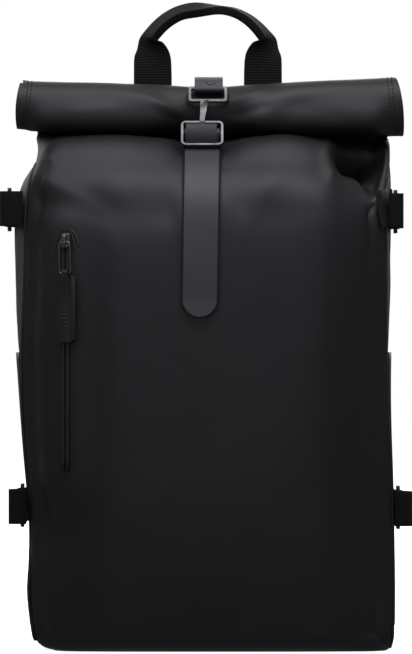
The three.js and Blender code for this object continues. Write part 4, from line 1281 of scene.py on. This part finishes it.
class BAG_OT_fittings(bpy.types.Operator):
    """Metal and plastic fittings, with softened edges"""

    bl_idname = "bag.fittings"
    bl_label = "Fittings"

    def execute(self, context):
        for slot, nodes in FITTINGS.items():
            for node in nodes:
                look = "coated_fabric" if node == "zip_pull" else slot
                piece = show(merged_copy(node, quads=False), f"{node}_finished", look)
                softened(piece, SMALL_EDGE, segments=3)
                keep(piece, slot, node)
        keep(show(pull_ribs(), "zip_pull_ribs", "coated_fabric"), "rubberised_fabric")
        return {"FINISHED"}


def pull_ribs():
    """Rounded ribs across the front of the zip's pull."""
    low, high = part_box("zip_pull")
    tree = surface_of(bpy.data.objects["zip_pull_finished"])
    bm = bmesh.new()
    for k in range(RIBS):
        place, _ = seen_at(tree, (low.x + high.x) / 2, low.z + RIB_FOOT + k * RIB_STEP)
        size = Matrix.Diagonal((*RIB_SIZE, 1))
        bmesh.ops.create_icosphere(bm, subdivisions=2, radius=0.5, matrix=Matrix.Translation(place) @ size)
    return bm


def inflate(piece, cap):
    """Swells a padded piece with a cloth simulation, and lets no point move further than cap."""
    rest = [v.co.copy() for v in piece.data.vertices]
    cloth = modifier(piece, "CLOTH")
    cloth.settings.use_pressure = True
    cloth.settings.uniform_pressure_force = PAD_PRESSURE
    cloth.settings.effector_weights.gravity = 0
    scene = bpy.context.scene
    for step in range(1, PAD_STEPS + 1):
        scene.frame_set(step)
    applied(piece)
    for v, start in zip(piece.data.vertices, rest):
        moved = v.co - start
        if moved.length > cap:
            v.co = start + moved.normalized() * cap
    scene.frame_set(1)


class BAG_OT_pads(bpy.types.Operator):
    """Padded back panel and shoulder straps, swollen by simulation"""

    bl_idname = "bag.pads"
    bl_label = "Pads"

    def execute(self, context):
        for node, name, facet, cap in PADS:
            pad = show(merged_copy(node, quads=False), name, "padding")
            modifier(pad, "REMESH", mode="VOXEL", voxel_size=facet)
            applied(pad)
            inflate(pad, cap)
            for face in pad.data.polygons:
                face.use_smooth = True
            subdivide(pad, 1)
            keep(pad, "padding", node)
        return {"FINISHED"}


class BAG_PT_panel(bpy.types.Panel):
    """Lists the pieces of the backpack"""

    bl_label = "Rolltop backpack"
    bl_idname = "BAG_PT_panel"
    bl_space_type = "VIEW_3D"
    bl_region_type = "UI"
    bl_category = "Backpack"

    def draw(self, context):
        layout = self.layout
        for group in (context.scene.bag_fabric, context.scene.bag_stage):
            for name in group.__annotations__:
                layout.prop(group, name)
        for operator in OPERATORS:
            layout.operator(operator.bl_idname)


OPERATORS = (
    BAG_OT_stage,
    BAG_OT_front,
    BAG_OT_roll,
    BAG_OT_sides,
    BAG_OT_hems,
    BAG_OT_seams,
    BAG_OT_straps,
    BAG_OT_closure,
    BAG_OT_folded_end,
    BAG_OT_zip,
    BAG_OT_fittings,
    BAG_OT_pads,
)
GROUPS = {"bag_fabric": BagFabric, "bag_stage": BagStage}


def register():
    for made in (*GROUPS.values(), *OPERATORS, BAG_PT_panel):
        bpy.utils.register_class(made)
    for name, group in GROUPS.items():
        setattr(bpy.types.Scene, name, bpy.props.PointerProperty(type=group))


def unregister():
    for name in GROUPS:
        delattr(bpy.types.Scene, name)
    for made in (BAG_PT_panel, *reversed(OPERATORS), *GROUPS.values()):
        bpy.utils.unregister_class(made)


def main():
    """Makes every piece."""
    register()
    for operator in OPERATORS:
        family, name = operator.bl_idname.split(".")
        getattr(getattr(bpy.ops, family), name)()


if __name__ == "__main__":
    main()
